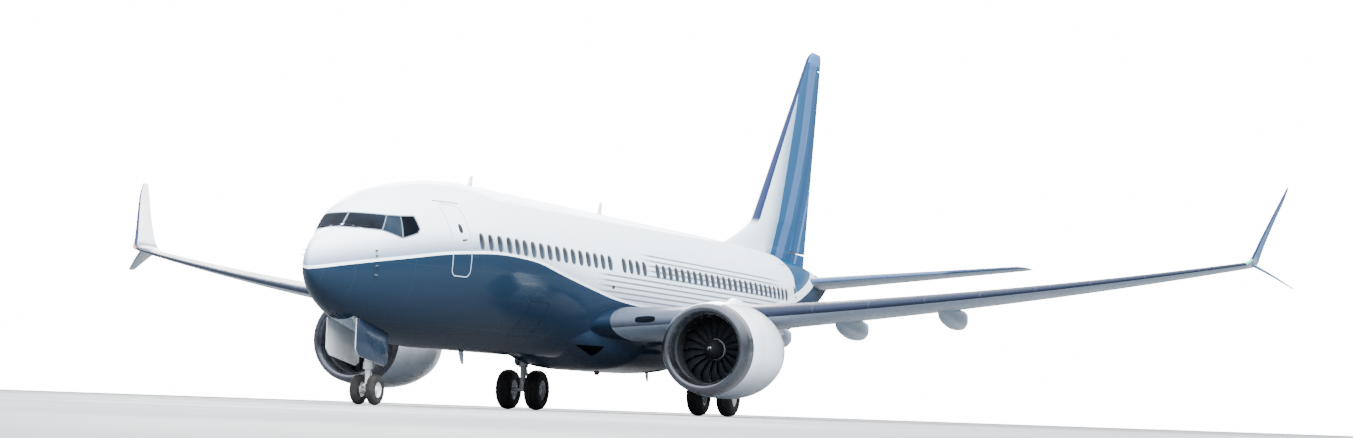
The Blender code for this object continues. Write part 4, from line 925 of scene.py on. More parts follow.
def makeWinglet(label, side):
    front, height, _, _ = wingEdges(wingLook["junction"])
    table = np.array(upperBlade)
    way = np.concatenate([[0], np.cumsum(np.hypot(*np.diff(table[:, :2], axis=0).T))])
    fine = np.linspace(0, way[-1], 56)
    x, rise, aft, chord, lean = (lineThrough(np.stack([way, table[:, k]], -1), fine, False) for k in range(5))
    lean = np.radians(np.clip(lean, 0, 70))
    leading = np.stack([side * x, front + aft, height + rise], -1)
    normal = np.stack([-side * np.sin(lean), 0 * x, np.cos(lean)], -1)
    rings, marks = foilRings(leading, leading + chord[:, None] * (0, 1, 0), wingletThickness, normal)
    marks["up"] = np.broadcast_to((rise / rise.max())[:, None], rings.shape[:2])
    upper = shell(rings, marks=marks)
    table = np.array(lowerBlade)
    fine = np.linspace(table[0, 0], table[-1, 0], 24)
    rise, aft, chord = (lineThrough(np.stack([table[:, 0], table[:, k]], -1), fine, False) for k in (1, 2, 3))
    leading = np.stack([side * fine, front + aft, height + rise], -1)
    normal = np.array(lowerNormal) * (side, 1, 1)
    rings, marks = foilRings(leading, leading + chord[:, None] * (0, 1, 0), wingletThickness, normal)
    marks["up"] = np.broadcast_to(0.5, rings.shape[:2])
    lower = shell(rings, marks=marks)
    lampLine = ((16.99, 0.03, 0.012), (17.05, 0.035, 0.05), (17.12, 0.10, 0.13))
    lampPath = [(side * x, front + aft, height + rise) for x, aft, rise in lampLine]
    paint = wingletPaint["outer" if side > 0 else "inner"]
    buildPiece(f"wingletSkin_{label}", [upper, lower], [paint, bladePaint[label]],
               replaced=(f"winglet_{label}",))
    buildPiece(f"navigationLamp_{label}", [tube(curvePath(lampPath, 12), 0.035)], [lampGlass[label]])


# Winglet paint: gloss blue on the outer face and white on the inner one, with a dark metal leading edge
def makeWingletPaint(name, look):
    material, tree, shader = startMaterial(name, {
        "Coat Weight": 0.3, "Coat Roughness": 0.05, "Specular IOR Level": 0.1,
    })
    where = partCoordinates(tree)[0]
    patch = addNode(tree, "ShaderNodeTexNoise", {"Vector": where, "Scale": 3.0, "Detail": 4.0})
    facing = addNode(tree, "ShaderNodeSeparateXYZ", {0: addNode(tree, "ShaderNodeNewGeometry", output=1)})
    outward = math2(tree, "MULTIPLY", facing, look["side"])
    up = markOf(tree, "up")
    blue = mixed(tree, up, look["low"], look["high"])
    face = mixed(tree, scaleOf(tree, -0.1, 0.1, outward), look["inner"], blue)
    face = mixed(tree, scaleOf(tree, 0.05, 0.14, up), look["root"], face)
    metal = scaleOf(tree, look["band"], look["band"] + 0.01, markOf(tree, "chord"), 1, 0)
    dress(tree, shader, {
        "Base Color": mixed(tree, metal, face, look["edge"]),
        "Metallic": math2(tree, "MULTIPLY", metal, 0.2),
        "Roughness": scaleOf(tree, 0.3, 0.7, patch, 0.2, 0.3),
    })
    return material


wingletPaint = {
    key: makeWingletPaint(f"winglet_{key}", {
        "low": "#2F5F98", "high": "#1C4070", "inner": "#FBFDFF", "edge": "#1E2C4C", "root": "#7D8B9A",
        "side": side, "band": band,
    }) for key, side, band in (("outer", 1, 0.05), ("inner", -1, 0.10))
}
bladePaint = {
    label: makeWingletPaint(f"lower_blade_{label}", {
        "low": "#24497A", "high": "#24497A", "inner": "#7F8E9A", "edge": "#24497A", "root": "#7D8B9A",
        "side": side, "band": 0.05,
    }) for label, side in sides
}


# Lamp covers: clear coloured glass with a soft glow, red to starboard and green to port
def makeLamp(name, colour, glow):
    lamp = surface(name, {
        "colour": colour, "dirt": colour, "roughness": 0.08, "patch": 9.0, "grain": 60.0, "coat": 1.0,
        "bump": 0.01,
    })
    tree = lamp.node_tree
    dress(tree, tree.nodes["Principled BSDF"], {"Emission Color": colour, "Emission Strength": glow})
    return lamp


lampGlass = {
    "port": makeLamp("green_lamp", "#4FB89A", 0.6),
    "starboard": makeLamp("red_lamp", "#D8402F", 1.2),
}
clearLamp = makeLamp("clear_lamp", "#DDE6EC", 0.25)
redBeacon = makeLamp("red_beacon", "#5E1511", 0.0)
for label, side in sides:
    makeWinglet(label, side)
print("winglets made")


# Flap track pods: slim bodies under the trailing edge, each section a squarish oval.
# Each row: part of the length, drop of the middle under the trailing edge, half width, half height
podLook = {"at": (4.3, 6.5, 9.2), "length": 3.15, "ahead": 2.35, "power": 0.75, "rings": 44, "sides": 36}
podTable = np.array((
    (0.0, 0.12, 0.02, 0.03), (0.12, 0.18, 0.11, 0.17), (0.35, 0.26, 0.17, 0.27), (0.62, 0.31, 0.17, 0.29),
    (0.86, 0.29, 0.13, 0.25), (1.0, 0.26, 0.05, 0.16),
))


def makePods(label, side):
    look = podLook
    part = (1 - np.cos(math.pi * np.linspace(0, 1, look["rings"]))) / 2
    drop, wide, high = (lineThrough(podTable[:, (0, k)], part, False) for k in (1, 2, 3))
    angles = turnAngles(look["sides"])
    for number, x in enumerate(look["at"], 1):
        _, _, rear, rearHeight = wingEdges(x)
        xs = side * x + wide[:, None] * signedPower(np.cos(angles), look["power"])
        zs = (rearHeight - drop)[:, None] + high[:, None] * signedPower(np.sin(angles), look["power"])
        station = np.broadcast_to((rear - look["ahead"] + part * look["length"])[:, None], xs.shape)
        buildPiece(f"trackPod_{number}_{label}", [shell(np.stack([xs, station, zs], -1))], [podPaint],
                   replaced=(f"flap_fairing_{number}_{label}",))


# Pod paint: grey-blue satin enamel, a shade bluer than the wing
podPaint = surface("pod_paint", {
    "colour": "#8496A8", "dirt": "#66788B", "roughness": 0.32, "patch": 2.0, "grain": 90.0, "coat": 0.3,
    "stretch": (1.0, 0.3, 1.0),
})
for label, side in sides:
    makePods(label, side)
print("pods made")


# A foil in three zones along its span, the middle one ending ahead of a control surface's hinge
# by the surface's half thickness and a slot. sectionAt gives the zone's leading and trailing points,
# its thickness, and the part of the chord where it ends.
slotLook = {"end": 0.034, "rim": 0.036, "slot": 0.012, "step": 0.002}


def zonedFoil(first, low, high, last, counts, normal, sectionAt, count):
    end, rim = slotLook["end"], slotLook["rim"]
    zones = ((first, low - rim), (low - end, high + end), (high + rim, last))
    rings, chords = [], []
    for number, (span, rows) in enumerate(zip(zones, counts)):
        leading, trailing, thickness, behind = sectionAt(np.linspace(*span, rows), number == 1)
        ring, marks = foilRings(leading, trailing, thickness, normal, 0.0, behind, count)
        rings.append(ring)
        chords.append(marks["chord"])
    return shell(np.concatenate(rings), marks={"chord": np.concatenate(chords)})


# Fin and rudder: edge stations at a height, a straight fin above a long curved fairing
finLook = {"kink": 2.83, "top": 9.05, "hinge": 0.68, "rudder": (2.05, 8.45), "thickness": 0.095, "foot": 1.0,
           "front": 30.56, "frontSlope": 0.892, "rear": 36.13, "rearSlope": 0.184, "rearHeight": 1.6,
           "dorsal": (2.2, 0.95), "dorsalFoot": 1.7, "dorsalHalf": 5.4, "capStart": 8.7, "tipStart": 8.93}


def finEdges(height):
    look = finLook
    front = look["front"] + look["frontSlope"] * (height - look["kink"])
    return front, look["rear"] + look["rearSlope"] * (height - look["rearHeight"])


# Fin paint: gloss enamel, white in front and darkening to blue-grey towards the blue as painted shade, with
# slanted blue bands behind a leaning line and a dark front edge
def makeFinPaint(name, look):
    material, tree, shader = startMaterial(name, {
        "Coat Weight": 0.4, "Coat Roughness": 0.05, "Specular IOR Level": 0.0,
    })
    where, _, station, height = partCoordinates(tree)
    offset = look["lean"] * look["edgeHeight"] - look["edgeStation"]
    slope = math2(tree, "MULTIPLY_ADD", height, -look["lean"], offset)
    behind = math2(tree, "ADD", station, slope)
    bend = math2(tree, "MULTIPLY", math2(tree, "SINE", math2(tree, "MULTIPLY", height, 0.9)), 0.18)
    sweep = math2(tree, "ADD", behind, bend)
    # Painted shade: the white front darkens to blue-grey over the last 1.1 m before the blue
    front = mixed(tree, scaleOf(tree, -1.1, 0.0, behind), look["white"], look["paintedShadeRear"])
    colour = mixed(tree, scaleOf(tree, -0.01, 0.01, behind), front, look["blues"][0])
    for low, high, blue in zip(look["from"], look["to"], look["blues"][1:]):
        band = math2(tree, "MULTIPLY", scaleOf(tree, low - 0.01, low + 0.01, sweep),
                     scaleOf(tree, high - 0.01, high + 0.01, sweep, 1, 0))
        colour = mixed(tree, band, colour, blue)
    cap = scaleOf(tree, look["cap"], look["cap"] + 0.02, height)
    colour = mixed(tree, cap, colour, look["capColour"])
    edge = scaleOf(tree, 0.040, 0.042, markOf(tree, "chord"), 1, 0)
    edge = math2(tree, "MULTIPLY", edge, scaleOf(tree, 2.6, 2.9, height))
    colour = mixed(tree, edge, colour, look["edge"])
    joints = repeatedLine(tree, height, 1.45, 0.012, 0.4)
    colour = mixed(tree, math2(tree, "MULTIPLY", joints, 0.15), colour, look["edge"])
    patch = addNode(tree, "ShaderNodeTexNoise", {"Vector": where, "Scale": 1.1, "Detail": 4.0})
    dress(tree, shader, {"Base Color": colour, "Roughness": scaleOf(tree, 0.3, 0.7, patch, 0.2, 0.3)})
    return material


finPaint = makeFinPaint("fin_paint", {
    "white": "#CFDFEA", "paintedShadeRear": "#86A1BD", "blues": ("#1F4A70", "#44628F", "#18426A", "#5170A0"),
    "from": (0.75, 2.05, 3.2), "to": (1.65, 2.65, 3.5), "lean": 0.53, "edgeStation": 31.8, "edgeHeight": 1.82,
    "cap": 8.62, "capColour": "#4B72A5", "edge": "#17264A",
})


# The fairing's front edge: fin front - a b - c b^2, with b the depth below the kink, and a rounded top
def finSection(heights, aheadOfRudder):
    look = finLook
    plainFront, plainRear = finEdges(heights)
    below = np.maximum(look["kink"] - np.maximum(heights, look["dorsalFoot"]), 0)
    fairing = look["front"] - look["dorsal"][0] * below - look["dorsal"][1] * below ** 2
    front = np.where(heights < look["kink"], fairing, plainFront)
    rounding = np.clip((heights - look["capStart"]) / (look["top"] - look["capStart"]), 0, 1) ** 2
    front, rear = front + 0.30 * rounding, plainRear - 0.10 * rounding
    thickness = look["thickness"] * np.where(heights < look["kink"], look["dorsalHalf"] / (rear - front), 1.0)
    thickness = thickness * (1 - 0.4 * np.clip((heights - look["tipStart"]) / 0.12, 0, 1))
    end = np.ones(len(heights))
    if aheadOfRudder:
        hinge = plainFront + (plainRear - plainFront) * look["hinge"]
        end = (hinge - rudderHalf(heights) - slotLook["slot"] - front) / (rear - front)
    leading = np.stack([0 * heights, front, heights], -1)
    return leading, np.stack([0 * heights, rear, heights], -1), thickness, end


def rudderHalf(height):
    front, rear = finEdges(height)
    return foilHalf(finLook["hinge"], finLook["thickness"]) * (rear - front) - slotLook["step"]


def makeFin():
    low, high = finLook["rudder"]
    fin = zonedFoil(finLook["foot"], low, high, finLook["top"], (16, 60, 18), (1, 0, 0), finSection, 44)
    buildPiece("finSkin", [fin], [finPaint], replaced=("fin",))
    heights = np.linspace(low, high, 50)
    front, rear = finEdges(heights)
    hinge = np.stack([0 * heights, front + (rear - front) * finLook["hinge"], heights], -1)
    end = np.stack([0 * heights, rear, heights], -1)
    rudder = hingedShell(hinge, end, rudderHalf(heights), (1, 0, 0))
    rudder["marks"]["chord"] = np.full(len(rudder["points"]), 0.8)
    buildPiece("rudderSkin", [rudder], [finPaint], body="rudder", replaced=("rudder",))


makeFin()


# Stabilizers and elevators: straight edges from root to tip, with a rounded tip
tailLook = {"root": 0.55, "tip": 7.175, "start": 0.25, "front": (33.45, 4.75), "rear": (37.6, 2.17),
            "height": 0.98, "dihedral": 7.6, "hinge": 0.70, "thickness": 0.09, "elevator": (1.75, 6.6),
            "roundStart": 6.9, "roundDepth": 0.32}


def tailEdges(x):
    look = tailLook
    part = (x - look["root"]) / (look["tip"] - look["root"])
    height = look["height"] + math.tan(math.radians(look["dihedral"])) * (x - look["root"])
    return look["front"][0] + look["front"][1] * part, look["rear"][0] + look["rear"][1] * part, height


def elevatorHalf(x):
    front, rear, _ = tailEdges(x)
    return foilHalf(tailLook["hinge"], tailLook["thickness"]) * (rear - front) - slotLook["step"]


def makeStabilizer(label, side):
    look = tailLook

    def section(xs, aheadOfElevator):
        front, rear, height = tailEdges(xs)
        rounding = np.maximum(xs - look["roundStart"], 0) / (look["tip"] - look["roundStart"])
        end = np.ones(len(xs))
        if aheadOfElevator:
            end = look["hinge"] - (elevatorHalf(xs) + slotLook["slot"]) / (rear - front)
        leading = np.stack([side * xs, front + look["roundDepth"] * rounding ** 2, height], -1)
        trailing = np.stack([side * xs, rear, height], -1)
        return leading, trailing, look["thickness"] * (1 - 0.5 * rounding), end

    low, high = look["elevator"]
    tail = zonedFoil(look["start"], low, high, look["tip"], (10, 36, 14), (0, 0, 1), section, 36)
    buildPiece(f"stabilizerSkin_{label}", [tail], [tailPaint], replaced=(f"stabilizer_{label}",))
    xs = np.linspace(low, high, 30)
    front, rear, height = tailEdges(xs)
    hinge = np.stack([side * xs, front + (rear - front) * look["hinge"], height], -1)
    end = np.stack([side * xs, rear, height], -1)
    elevator = hingedShell(hinge, end, elevatorHalf(xs), (0, 0, 1))
    buildPiece(f"elevatorSkin_{label}", [elevator], [flapPaint], body=f"elevator_{label}",
               replaced=(f"elevator_{label}",))


tailPaint = makeWingPaint("stabilizer_paint", {
    "skin": "#7D8B9A", "worn": "#687786", "shadedUpperSkin": "#5D6C80", "metal": "#2C3A52", "front": "#56698A",
    "metalInboardReflection": "#4A5C7C", "joint": "#5E6872", "streak": 0.35,
    "metalLow": 0.02, "metalEnd": 0.14, "ribPitch": 1.15, "root": "#7D8B9A", "rootEnd": 0.2,
})
for label, side in sides:
    makeStabilizer(label, side)
print("tail made")


# Engines, turned about lines along the aircraft. A cowl's rows are (distance behind the lip's front, radius),
# and the core's are (station, radius).
engineLook = {"x": 4.90, "height": -1.81, "lip": 12.12, "lipLength": 0.34, "seam": 0.0003, "lipMiddle": 1.005,
              "lipHalf": 0.14, "length": 3.58, "underWing": 0.03, "steps": 120}
cowlOuter = ((0.34, 1.145), (0.8, 1.205), (1.4, 1.23), (2.0, 1.235), (2.5, 1.215), (3.0, 1.155), (3.58, 1.02))
cowlInner = ((0.34, 0.865), (0.80, 0.89), (1.05, 0.89), (1.7, 0.93), (2.5, 1.0), (3.1, 1.02), (3.58, 0.99))
coreLine = ((13.32, 0.24), (13.44, 0.24), (13.44, 0.52), (14.22, 0.60), (15.62, 0.66), (16.2, 0.56),
            (17.0, 0.41), (17.0, 0.33), (17.3, 0.24), (17.74, 0.012))


def lowerWingSkin(x, station):
    x = np.clip(x, wingLook["root"], wingLook["junction"])
    front, frontHeight, rear, rearHeight = wingEdges(x)
    u = np.clip((station - front) / (rear - front), 0, 1)
    return frontHeight + (rearHeight - frontHeight) * u - foilHalf(u, wingThickness(x)) * (rear - front)


# The cowl with its duct, held under the wing's skin where it meets the wing, and the lip's half round:
# station = end - length sin(a)^0.9, radius = middle - half cos(a)
def makeNacelle(label, side):
    look = engineLook
    centre = (side * look["x"], look["height"])
    along = np.linspace(look["lipLength"] + look["seam"], look["length"], 60)
    stations = look["lip"] + along
    outer, inner = (
        np.stack([stations, lineThrough(line, along, False)], -1) for line in (cowlOuter, cowlInner)
    )
    cowl = turned("aft", np.concatenate([outer, inner[::-1]]), centre, look["steps"], loop=True)
    points = cowl["points"]
    x = np.abs(points[:, 0])
    under = lowerWingSkin(x, points[:, 1]) - look["underWing"]
    inWing = (points[:, 1] > wingEdges(x)[0] - 0.02) & (points[:, 2] > under)
    points[:, 2] = np.where(inWing, under, points[:, 2])
    cowl["marks"]["duct"] = np.repeat(np.repeat((0.0, 1.0), len(along)), look["steps"])
    buildPiece(f"cowl_{label}", [cowl], [cowlPaint], replaced=(f"nacelle_{label}",))
    turn = np.linspace(0, math.pi, 34)
    end = look["lipLength"] - look["seam"]
    station = look["lip"] + end - end * np.sin(turn) ** 0.9
    lip = np.stack([station, look["lipMiddle"] - look["lipHalf"] * np.cos(turn)], -1)
    buildPiece(f"inletRing_{label}", [turned("aft", lip, centre, look["steps"], loop=True)], [lipMetal],
               replaced=(f"inlet_lip_{label}",))


# The distance from an engine's centre line
def engineRadius(tree, x, height):
    dx = math2(tree, "SUBTRACT", math2(tree, "ABSOLUTE", x), engineLook["x"])
    dz = math2(tree, "SUBTRACT", height, engineLook["height"])
    squares = math2(tree, "ADD", math2(tree, "MULTIPLY", dx, dx), math2(tree, "MULTIPLY", dz, dz))
    return math2(tree, "SQRT", squares)


# Polished aluminium skin of the inlet lip: dull grey outside, brighter where it turns into the throat
def makeLipMetal():
    material = surface("polished_skin", {
        "colour": "#5E6169", "dirt": "#51545C", "roughness": 0.30, "metallic": 1.0, "patch": 3.0,
        "grain": 160.0, "bump": 0.02, "wear": 0.5,
    })
    tree = material.node_tree
    _, x, _, height = partCoordinates(tree)
    throat = scaleOf(tree, 0.885, 0.93, engineRadius(tree, x, height), 1, 0)
    shader = tree.nodes["Principled BSDF"]
    outside = shader.inputs["Base Color"].links[0].from_socket
    dress(tree, shader, {"Base Color": mixed(tree, throat, outside, "#C6CED8")})
    return material


lipMetal = makeLipMetal()


# Cowl paint: white enamel with fine seams of the fan doors and the reverser, behind a band of bare metal. Its
# lower side turns blue-grey as painted shade. Inside the duct the band is paler, and the liner behind it is
# dark.
def makeCowlPaint(look):
    material, tree, shader = startMaterial("cowl_paint", {"Coat Weight": 0.5, "Coat Roughness": 0.05})
    where, x, station, height = partCoordinates(tree)
    duct = scaleOf(tree, 0.4, 0.6, markOf(tree, "duct"))
    patch = addNode(tree, "ShaderNodeTexNoise", {"Vector": where, "Scale": 1.5, "Detail": 5.0})
    grain = addNode(tree, "ShaderNodeTexNoise", {"Vector": where, "Scale": look["grain"]})
    soot = scaleOf(tree, *look["sootSpan"], station, 0.0, 0.35)
    outer = mixed(tree, math2(tree, "MULTIPLY", patch, 0.22), look["white"], look["grey"])
    outer = mixed(tree, soot, outer, look["grey"])
    # Painted shade: blue-grey over the lower cowl, strongest at the bottom and gone 1.05 m higher
    below = scaleOf(tree, look["belly"], look["flank"], height, 0.9, 0.0)
    outer = mixed(tree, below, outer, look["shade"])
    lines = 0.0
    for seamStation, width in look["seams"]:
        away = math2(tree, "ABSOLUTE", math2(tree, "SUBTRACT", station, seamStation))
        lines = math2(tree, "MAXIMUM", lines, scaleOf(tree, width, width + 0.006, away, 1, 0))
    split = math2(tree, "SUBTRACT", math2(tree, "ABSOLUTE", x), engineLook["x"])
    split = scaleOf(tree, 0.006, 0.012, math2(tree, "ABSOLUTE", split), 1, 0)
    behindInlet = scaleOf(tree, look["inletEnd"] - 0.01, look["inletEnd"] + 0.01, station)
    lines = math2(tree, "MAXIMUM", lines, math2(tree, "MULTIPLY", split, behindInlet))
    outer = mixed(tree, math2(tree, "MULTIPLY", lines, 0.5), outer, look["seam"])
    bare = scaleOf(tree, look["bareEnd"], look["bareEnd"] + 0.01, station, 1, 0)
    inner = mixed(tree, bare, look["liner"], look["throat"])
    outer = mixed(tree, bare, outer, look["bare"])
    dress(tree, shader, {
        "Base Color": mixed(tree, duct, outer, inner), "Metallic": math2(tree, "MULTIPLY", bare, 0.9),
        "Roughness": scaleOf(tree, 0.0, 1.0, duct, 0.22, 0.5),
        "Normal": addNode(tree, "ShaderNodeBump", {
            "Height": grain, "Strength": math2(tree, "MULTIPLY", duct, 0.08), "Distance": 0.002,
        }),
    })
    return material


cowlPaint = makeCowlPaint({
    "white": "#DDE7F0", "grey": "#B4C0CC", "seam": "#7E8894", "liner": "#1E2126", "shade": "#5A6E86",
    "bare": "#5E6169", "throat": "#8C9097", "bareEnd": 12.66,
    "belly": -3.05, "flank": -2.0, "inletEnd": 13.35, "seams": ((13.35, 0.006), (14.35, 0.005)),
    "sootSpan": (14.9, 15.75), "grain": 150.0,
})


# A fan blade: chord and twist change from root to tip, and the edge curves like a scimitar.
# Section point: aft = a c cos(twist) - thickness sin(twist) + sweep, and around the shaft
# a c sin(twist) + thickness cos(twist), with a from -0.5 to 0.5 over the chord c.
# Each row of the table: part of the span, chord, twist in degrees, sweep aft, lean in radians
bladeLook = {"count": 18, "station": 13.15, "radii": (0.235, 0.872), "camber": 0.02, "edge": 0.003,
             "thickness": 0.007}
bladeTable = np.array((
    (0.0, 0.17, 35, 0.0, 0.0), (0.4, 0.24, 50, -0.02, 0.05), (0.72, 0.28, 60, -0.01, 0.03),
    (1.0, 0.27, 66, 0.03, -0.06),
))


def bladeShell(centre, turn):
    look = bladeLook
    part = np.linspace(0, 1, 16)
    columns = (lineThrough(bladeTable[:, (0, k)], part, False)[:, None] for k in range(1, 5))
    chord, twist, sweep, lean = columns
    twist = np.radians(twist)
    root, tip = look["radii"]
    radius = (root + part * (tip - root))[:, None]
    a = np.linspace(-0.5, 0.5, 9)[None]
    bulge = 1 - 4 * a * a
    faces = []
    for sign in (1, -1):
        half = look["edge"] + look["thickness"] * bulge * (1 - 0.4 * part[:, None])
        thick = sign * half + look["camber"] * bulge
        aft = a * chord * np.cos(twist) - thick * np.sin(twist) + sweep
        around = a * chord * np.sin(twist) + thick * np.cos(twist)
        angle = turn + lean + around / radius
        x = centre[0] + radius * np.sin(angle)
        z = centre[1] + radius * np.cos(angle)
        faces.append(np.stack([x, look["station"] + aft, z], -1))
    return slab(*faces)


# The fan: a spinner of radius 0.27 sin(t)^0.85 along its length, a short hub, and the blades
spinnerLook = {"tip": 12.69, "length": 0.415, "radius": 0.27, "hub": ((13.2, 0.285), (13.319, 0.30))}


def makeFan(label, side):
    centre = (side * engineLook["x"], engineLook["height"])
    turns = 2 * math.pi * np.arange(bladeLook["count"]) / bladeLook["count"]
    blades = [bladeShell(centre, turn) for turn in turns]
    along = np.linspace(0, 1, 26)
    reach = spinnerLook["radius"] * np.sin(along * math.pi / 2) ** 0.85 + 0.002
    cone = np.stack([spinnerLook["tip"] + 0.005 + spinnerLook["length"] * along, reach], -1)
    hub = np.concatenate([cone, spinnerLook["hub"]])
    spinner = turned("aft", hub, centre, 72, caps=(spinnerLook["tip"], None))
    buildPiece(f"fanDisk_{label}", [spinner] + blades, [spinnerPaint[label]] + [fanMetal] * len(blades),
               body=f"fan_{label}", replaced=(f"fan_{label}",))


# The core: the fan's frame, the core cowl, and the plug in its nozzle, with guide vanes across the duct
coreLook = {"front": 13.3203, "cowlStart": 13.46, "nozzle": 17.0, "plugEnd": 17.74, "tip": 17.75,
            "nudge": 0.0001}
vaneLook = {"count": 28, "station": 13.72, "radii": (0.54, 0.72, 0.92), "half": 0.09, "turn": 0.9,
            "thickness": 0.005}


def profileBetween(points, first, last, count):
    along = np.linspace(first, last, count)
    return np.stack([along, lineThrough(points + (coreLook["nudge"], 0), along, False)], -1)


def guideVane(centre, turn):
    look = vaneLook
    radial = np.array([math.cos(turn), 0, math.sin(turn)])
    across = np.array([-math.sin(turn), 0, math.cos(turn)])
    reach = np.array(look["radii"])[:, None, None]
    along = np.linspace(-look["half"], look["half"], 5)[None, :, None]
    grid = np.array([centre[0], look["station"], centre[1]]) + radial * reach
    grid = grid + (np.array([0, 1, 0]) + across * look["turn"]) * along
    return slab(grid + across * look["thickness"], grid - across * look["thickness"])


def makeCore(label, side):
    look = coreLook
    centre = (side * engineLook["x"], engineLook["height"])
    core = np.array(coreLine)
    profile = np.concatenate([
        core[:3], profileBetween(core[2:7], look["cowlStart"], look["nozzle"], 40),
        profileBetween(core[7:], look["nozzle"] + 0.001, look["plugEnd"], 14),
    ])
    body = turned("aft", profile, centre, 96, caps=(look["front"], look["tip"]))
    vanes = [guideVane(centre, turn) for turn in turnAngles(vaneLook["count"])]
    buildPiece(f"coreCowl_{label}", [body] + vanes, [nozzleMetal] + [ductLiner] * len(vanes),
               replaced=(f"engine_core_{label}",))


# Spinner: black paint, a thin pale ring at its base and a pale spiral mark, which shows that the fan turns
def makeSpinner(name, side):
    material, tree, shader = startMaterial(name, {
        "Roughness": 0.45, "Coat Weight": 0.0, "Specular IOR Level": 0.2,
    })
    where, x, _, height = partCoordinates(tree)
    dx = math2(tree, "SUBTRACT", x, side * engineLook["x"])
    dz = math2(tree, "SUBTRACT", height, engineLook["height"])
    radius = engineRadius(tree, x, height)
    angle = math2(tree, "ARCTAN2", dz, dx)
    wound = math2(tree, "SUBTRACT", math2(tree, "MULTIPLY", radius, 40.0), angle)
    away = math2(tree, "ABSOLUTE", math2(tree, "WRAP", wound, math.pi, -math.pi))
    nearTip = scaleOf(tree, 0.075, 0.085, radius, 1, 0)
    spiral = math2(tree, "MULTIPLY", scaleOf(tree, 0.35, 0.55, away, 1, 0), nearTip)
    ring = math2(tree, "ABSOLUTE", math2(tree, "SUBTRACT", radius, 0.268))
    pale = math2(tree, "MAXIMUM", spiral, scaleOf(tree, 0.006, 0.009, ring, 1, 0))
    patch = addNode(tree, "ShaderNodeTexNoise", {"Vector": where, "Scale": 12.0})
    black = mixed(tree, patch, "#0B0C0E", "#15171A")
    dress(tree, shader, {"Base Color": mixed(tree, pale, black, "#8E959C")})
    return material


spinnerPaint = {label: makeSpinner(f"spinner_{label}", side) for label, side in sides}


# Pylon: side outline as upper and lower lines by station, with a rounded section that thins to its ends
pylonTop = ((13.87, -0.78), (14.1, -0.55), (14.35, -0.47), (15.1, -0.52), (17.0, -0.62), (18.5, -1.02),
            (18.75, -1.19))
pylonLow = ((13.87, -0.84), (14.1, -1.08), (14.6, -1.24), (16.3, -1.30), (17.6, -1.34), (18.5, -1.24),
            (18.75, -1.21))


def makePylon(label, side):
    stations = np.concatenate([13.87 + 0.7 * np.linspace(0, 1, 22) ** 1.6, np.linspace(14.62, 18.75, 50)])
    top, low = lineThrough(pylonTop, stations, False), lineThrough(pylonLow, stations, False)
    wide = 0.168 * (ease(13.6, 14.7, stations) ** 0.6) * (1 - 0.85 * ease(17.2, 18.8, stations)) + 0.002
    angles = turnAngles(40)
    x = side * engineLook["x"] + wide[:, None] * signedPower(np.cos(angles), 0.45)
    z = ((top + low) / 2)[:, None] + ((top - low) / 2)[:, None] * signedPower(np.sin(angles), 0.6)
    grid = np.stack([x, np.broadcast_to(stations[:, None], x.shape), z], -1)
    buildPiece(f"pylonSkin_{label}", [shell(grid)], [whitePaint], replaced=(f"pylon_{label}",))


for label, side in sides:
    makeNacelle(label, side)
    makeFan(label, side)
    makeCore(label, side)
    makePylon(label, side)
print("engines made")


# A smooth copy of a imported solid: merged corners, flat faces joined, edges rounded
softLook = {"merge": 0.0002, "flat": math.radians(1.5), "edge": math.radians(40)}


def smoothCopy(name, node, finish, rounding, body="airframe"):
    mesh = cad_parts[node].data.copy()
    mesh.materials.clear()
    soft = bmesh.new()
    soft.from_mesh(mesh)
    bmesh.ops.remove_doubles(soft, verts=soft.verts, dist=softLook["merge"])
    bmesh.ops.dissolve_limit(soft, angle_limit=softLook["flat"], verts=soft.verts, edges=soft.edges)
    joined = [edge for edge in soft.edges if len(edge.link_faces) == 2]
    edges = [edge for edge in joined if edge.calc_face_angle(0) > softLook["edge"]]
    bmesh.ops.bevel(soft, geom=edges, offset=rounding, segments=2, affect="EDGES", profile=0.5,
                    clamp_overlap=True)
    soft.to_mesh(mesh)
    soft.free()
    mesh.materials.append(finish)
    return addObject(name, mesh, body, (node,), 35)


# Wheels. The tyre's section is rim + (radius - rim) sin(a)^0.42 over its width, with grooves in its tread,
# and the wheel is a dished disc with a ring of bolts on each side.
gearLook = {"mainStation": 18.98, "mainX": 2.86, "mainRadius": 0.565, "mainWidth": 0.42, "mainSpacing": 0.86,
            "noseStation": 3.38, "noseRadius": 0.345, "noseWidth": 0.20, "noseSpacing": 0.40}
tyreLook = {"grooves": (-0.45, -0.15, 0.15, 0.45), "grooveHalf": 0.045, "grooveDepth": 0.965, "rim": 0.53,
            "seat": 0.93, "boltRing": 0.70, "bolt": 0.055, "bolts": 10}


def tyreSection(radius, width):
    look = tyreLook
    turn = np.linspace(0, math.pi, 61)
    across = -width / 2 * np.cos(turn)
    rim = radius * look["rim"]
    reach = rim + (radius - rim) * np.sin(turn) ** 0.42
    for groove in look["grooves"]:
        cut = np.abs(across / (width / 2) - groove) < look["grooveHalf"]
        reach = np.where(cut, np.minimum(reach, radius * look["grooveDepth"]), reach)
    inside = np.stack([np.array([0.35, 0.15, -0.15, -0.35]) * width, np.full(4, rim * look["seat"])], -1)
    return np.concatenate([np.stack([across, reach], -1), inside])


# One half of the hub's section as (part of the width, radius), mirrored for the other half
def hubSection(rim, axle):
    half = [(0.40, rim * 0.985), (0.36, rim * 0.90), (0.20, rim * 0.80), (0.10, rim * 0.62),
            (0.16, axle * 2.4), (0.30, axle * 2.0), (0.30, axle)]
    return np.array([(-across, reach) for across, reach in half[::-1]] + half)


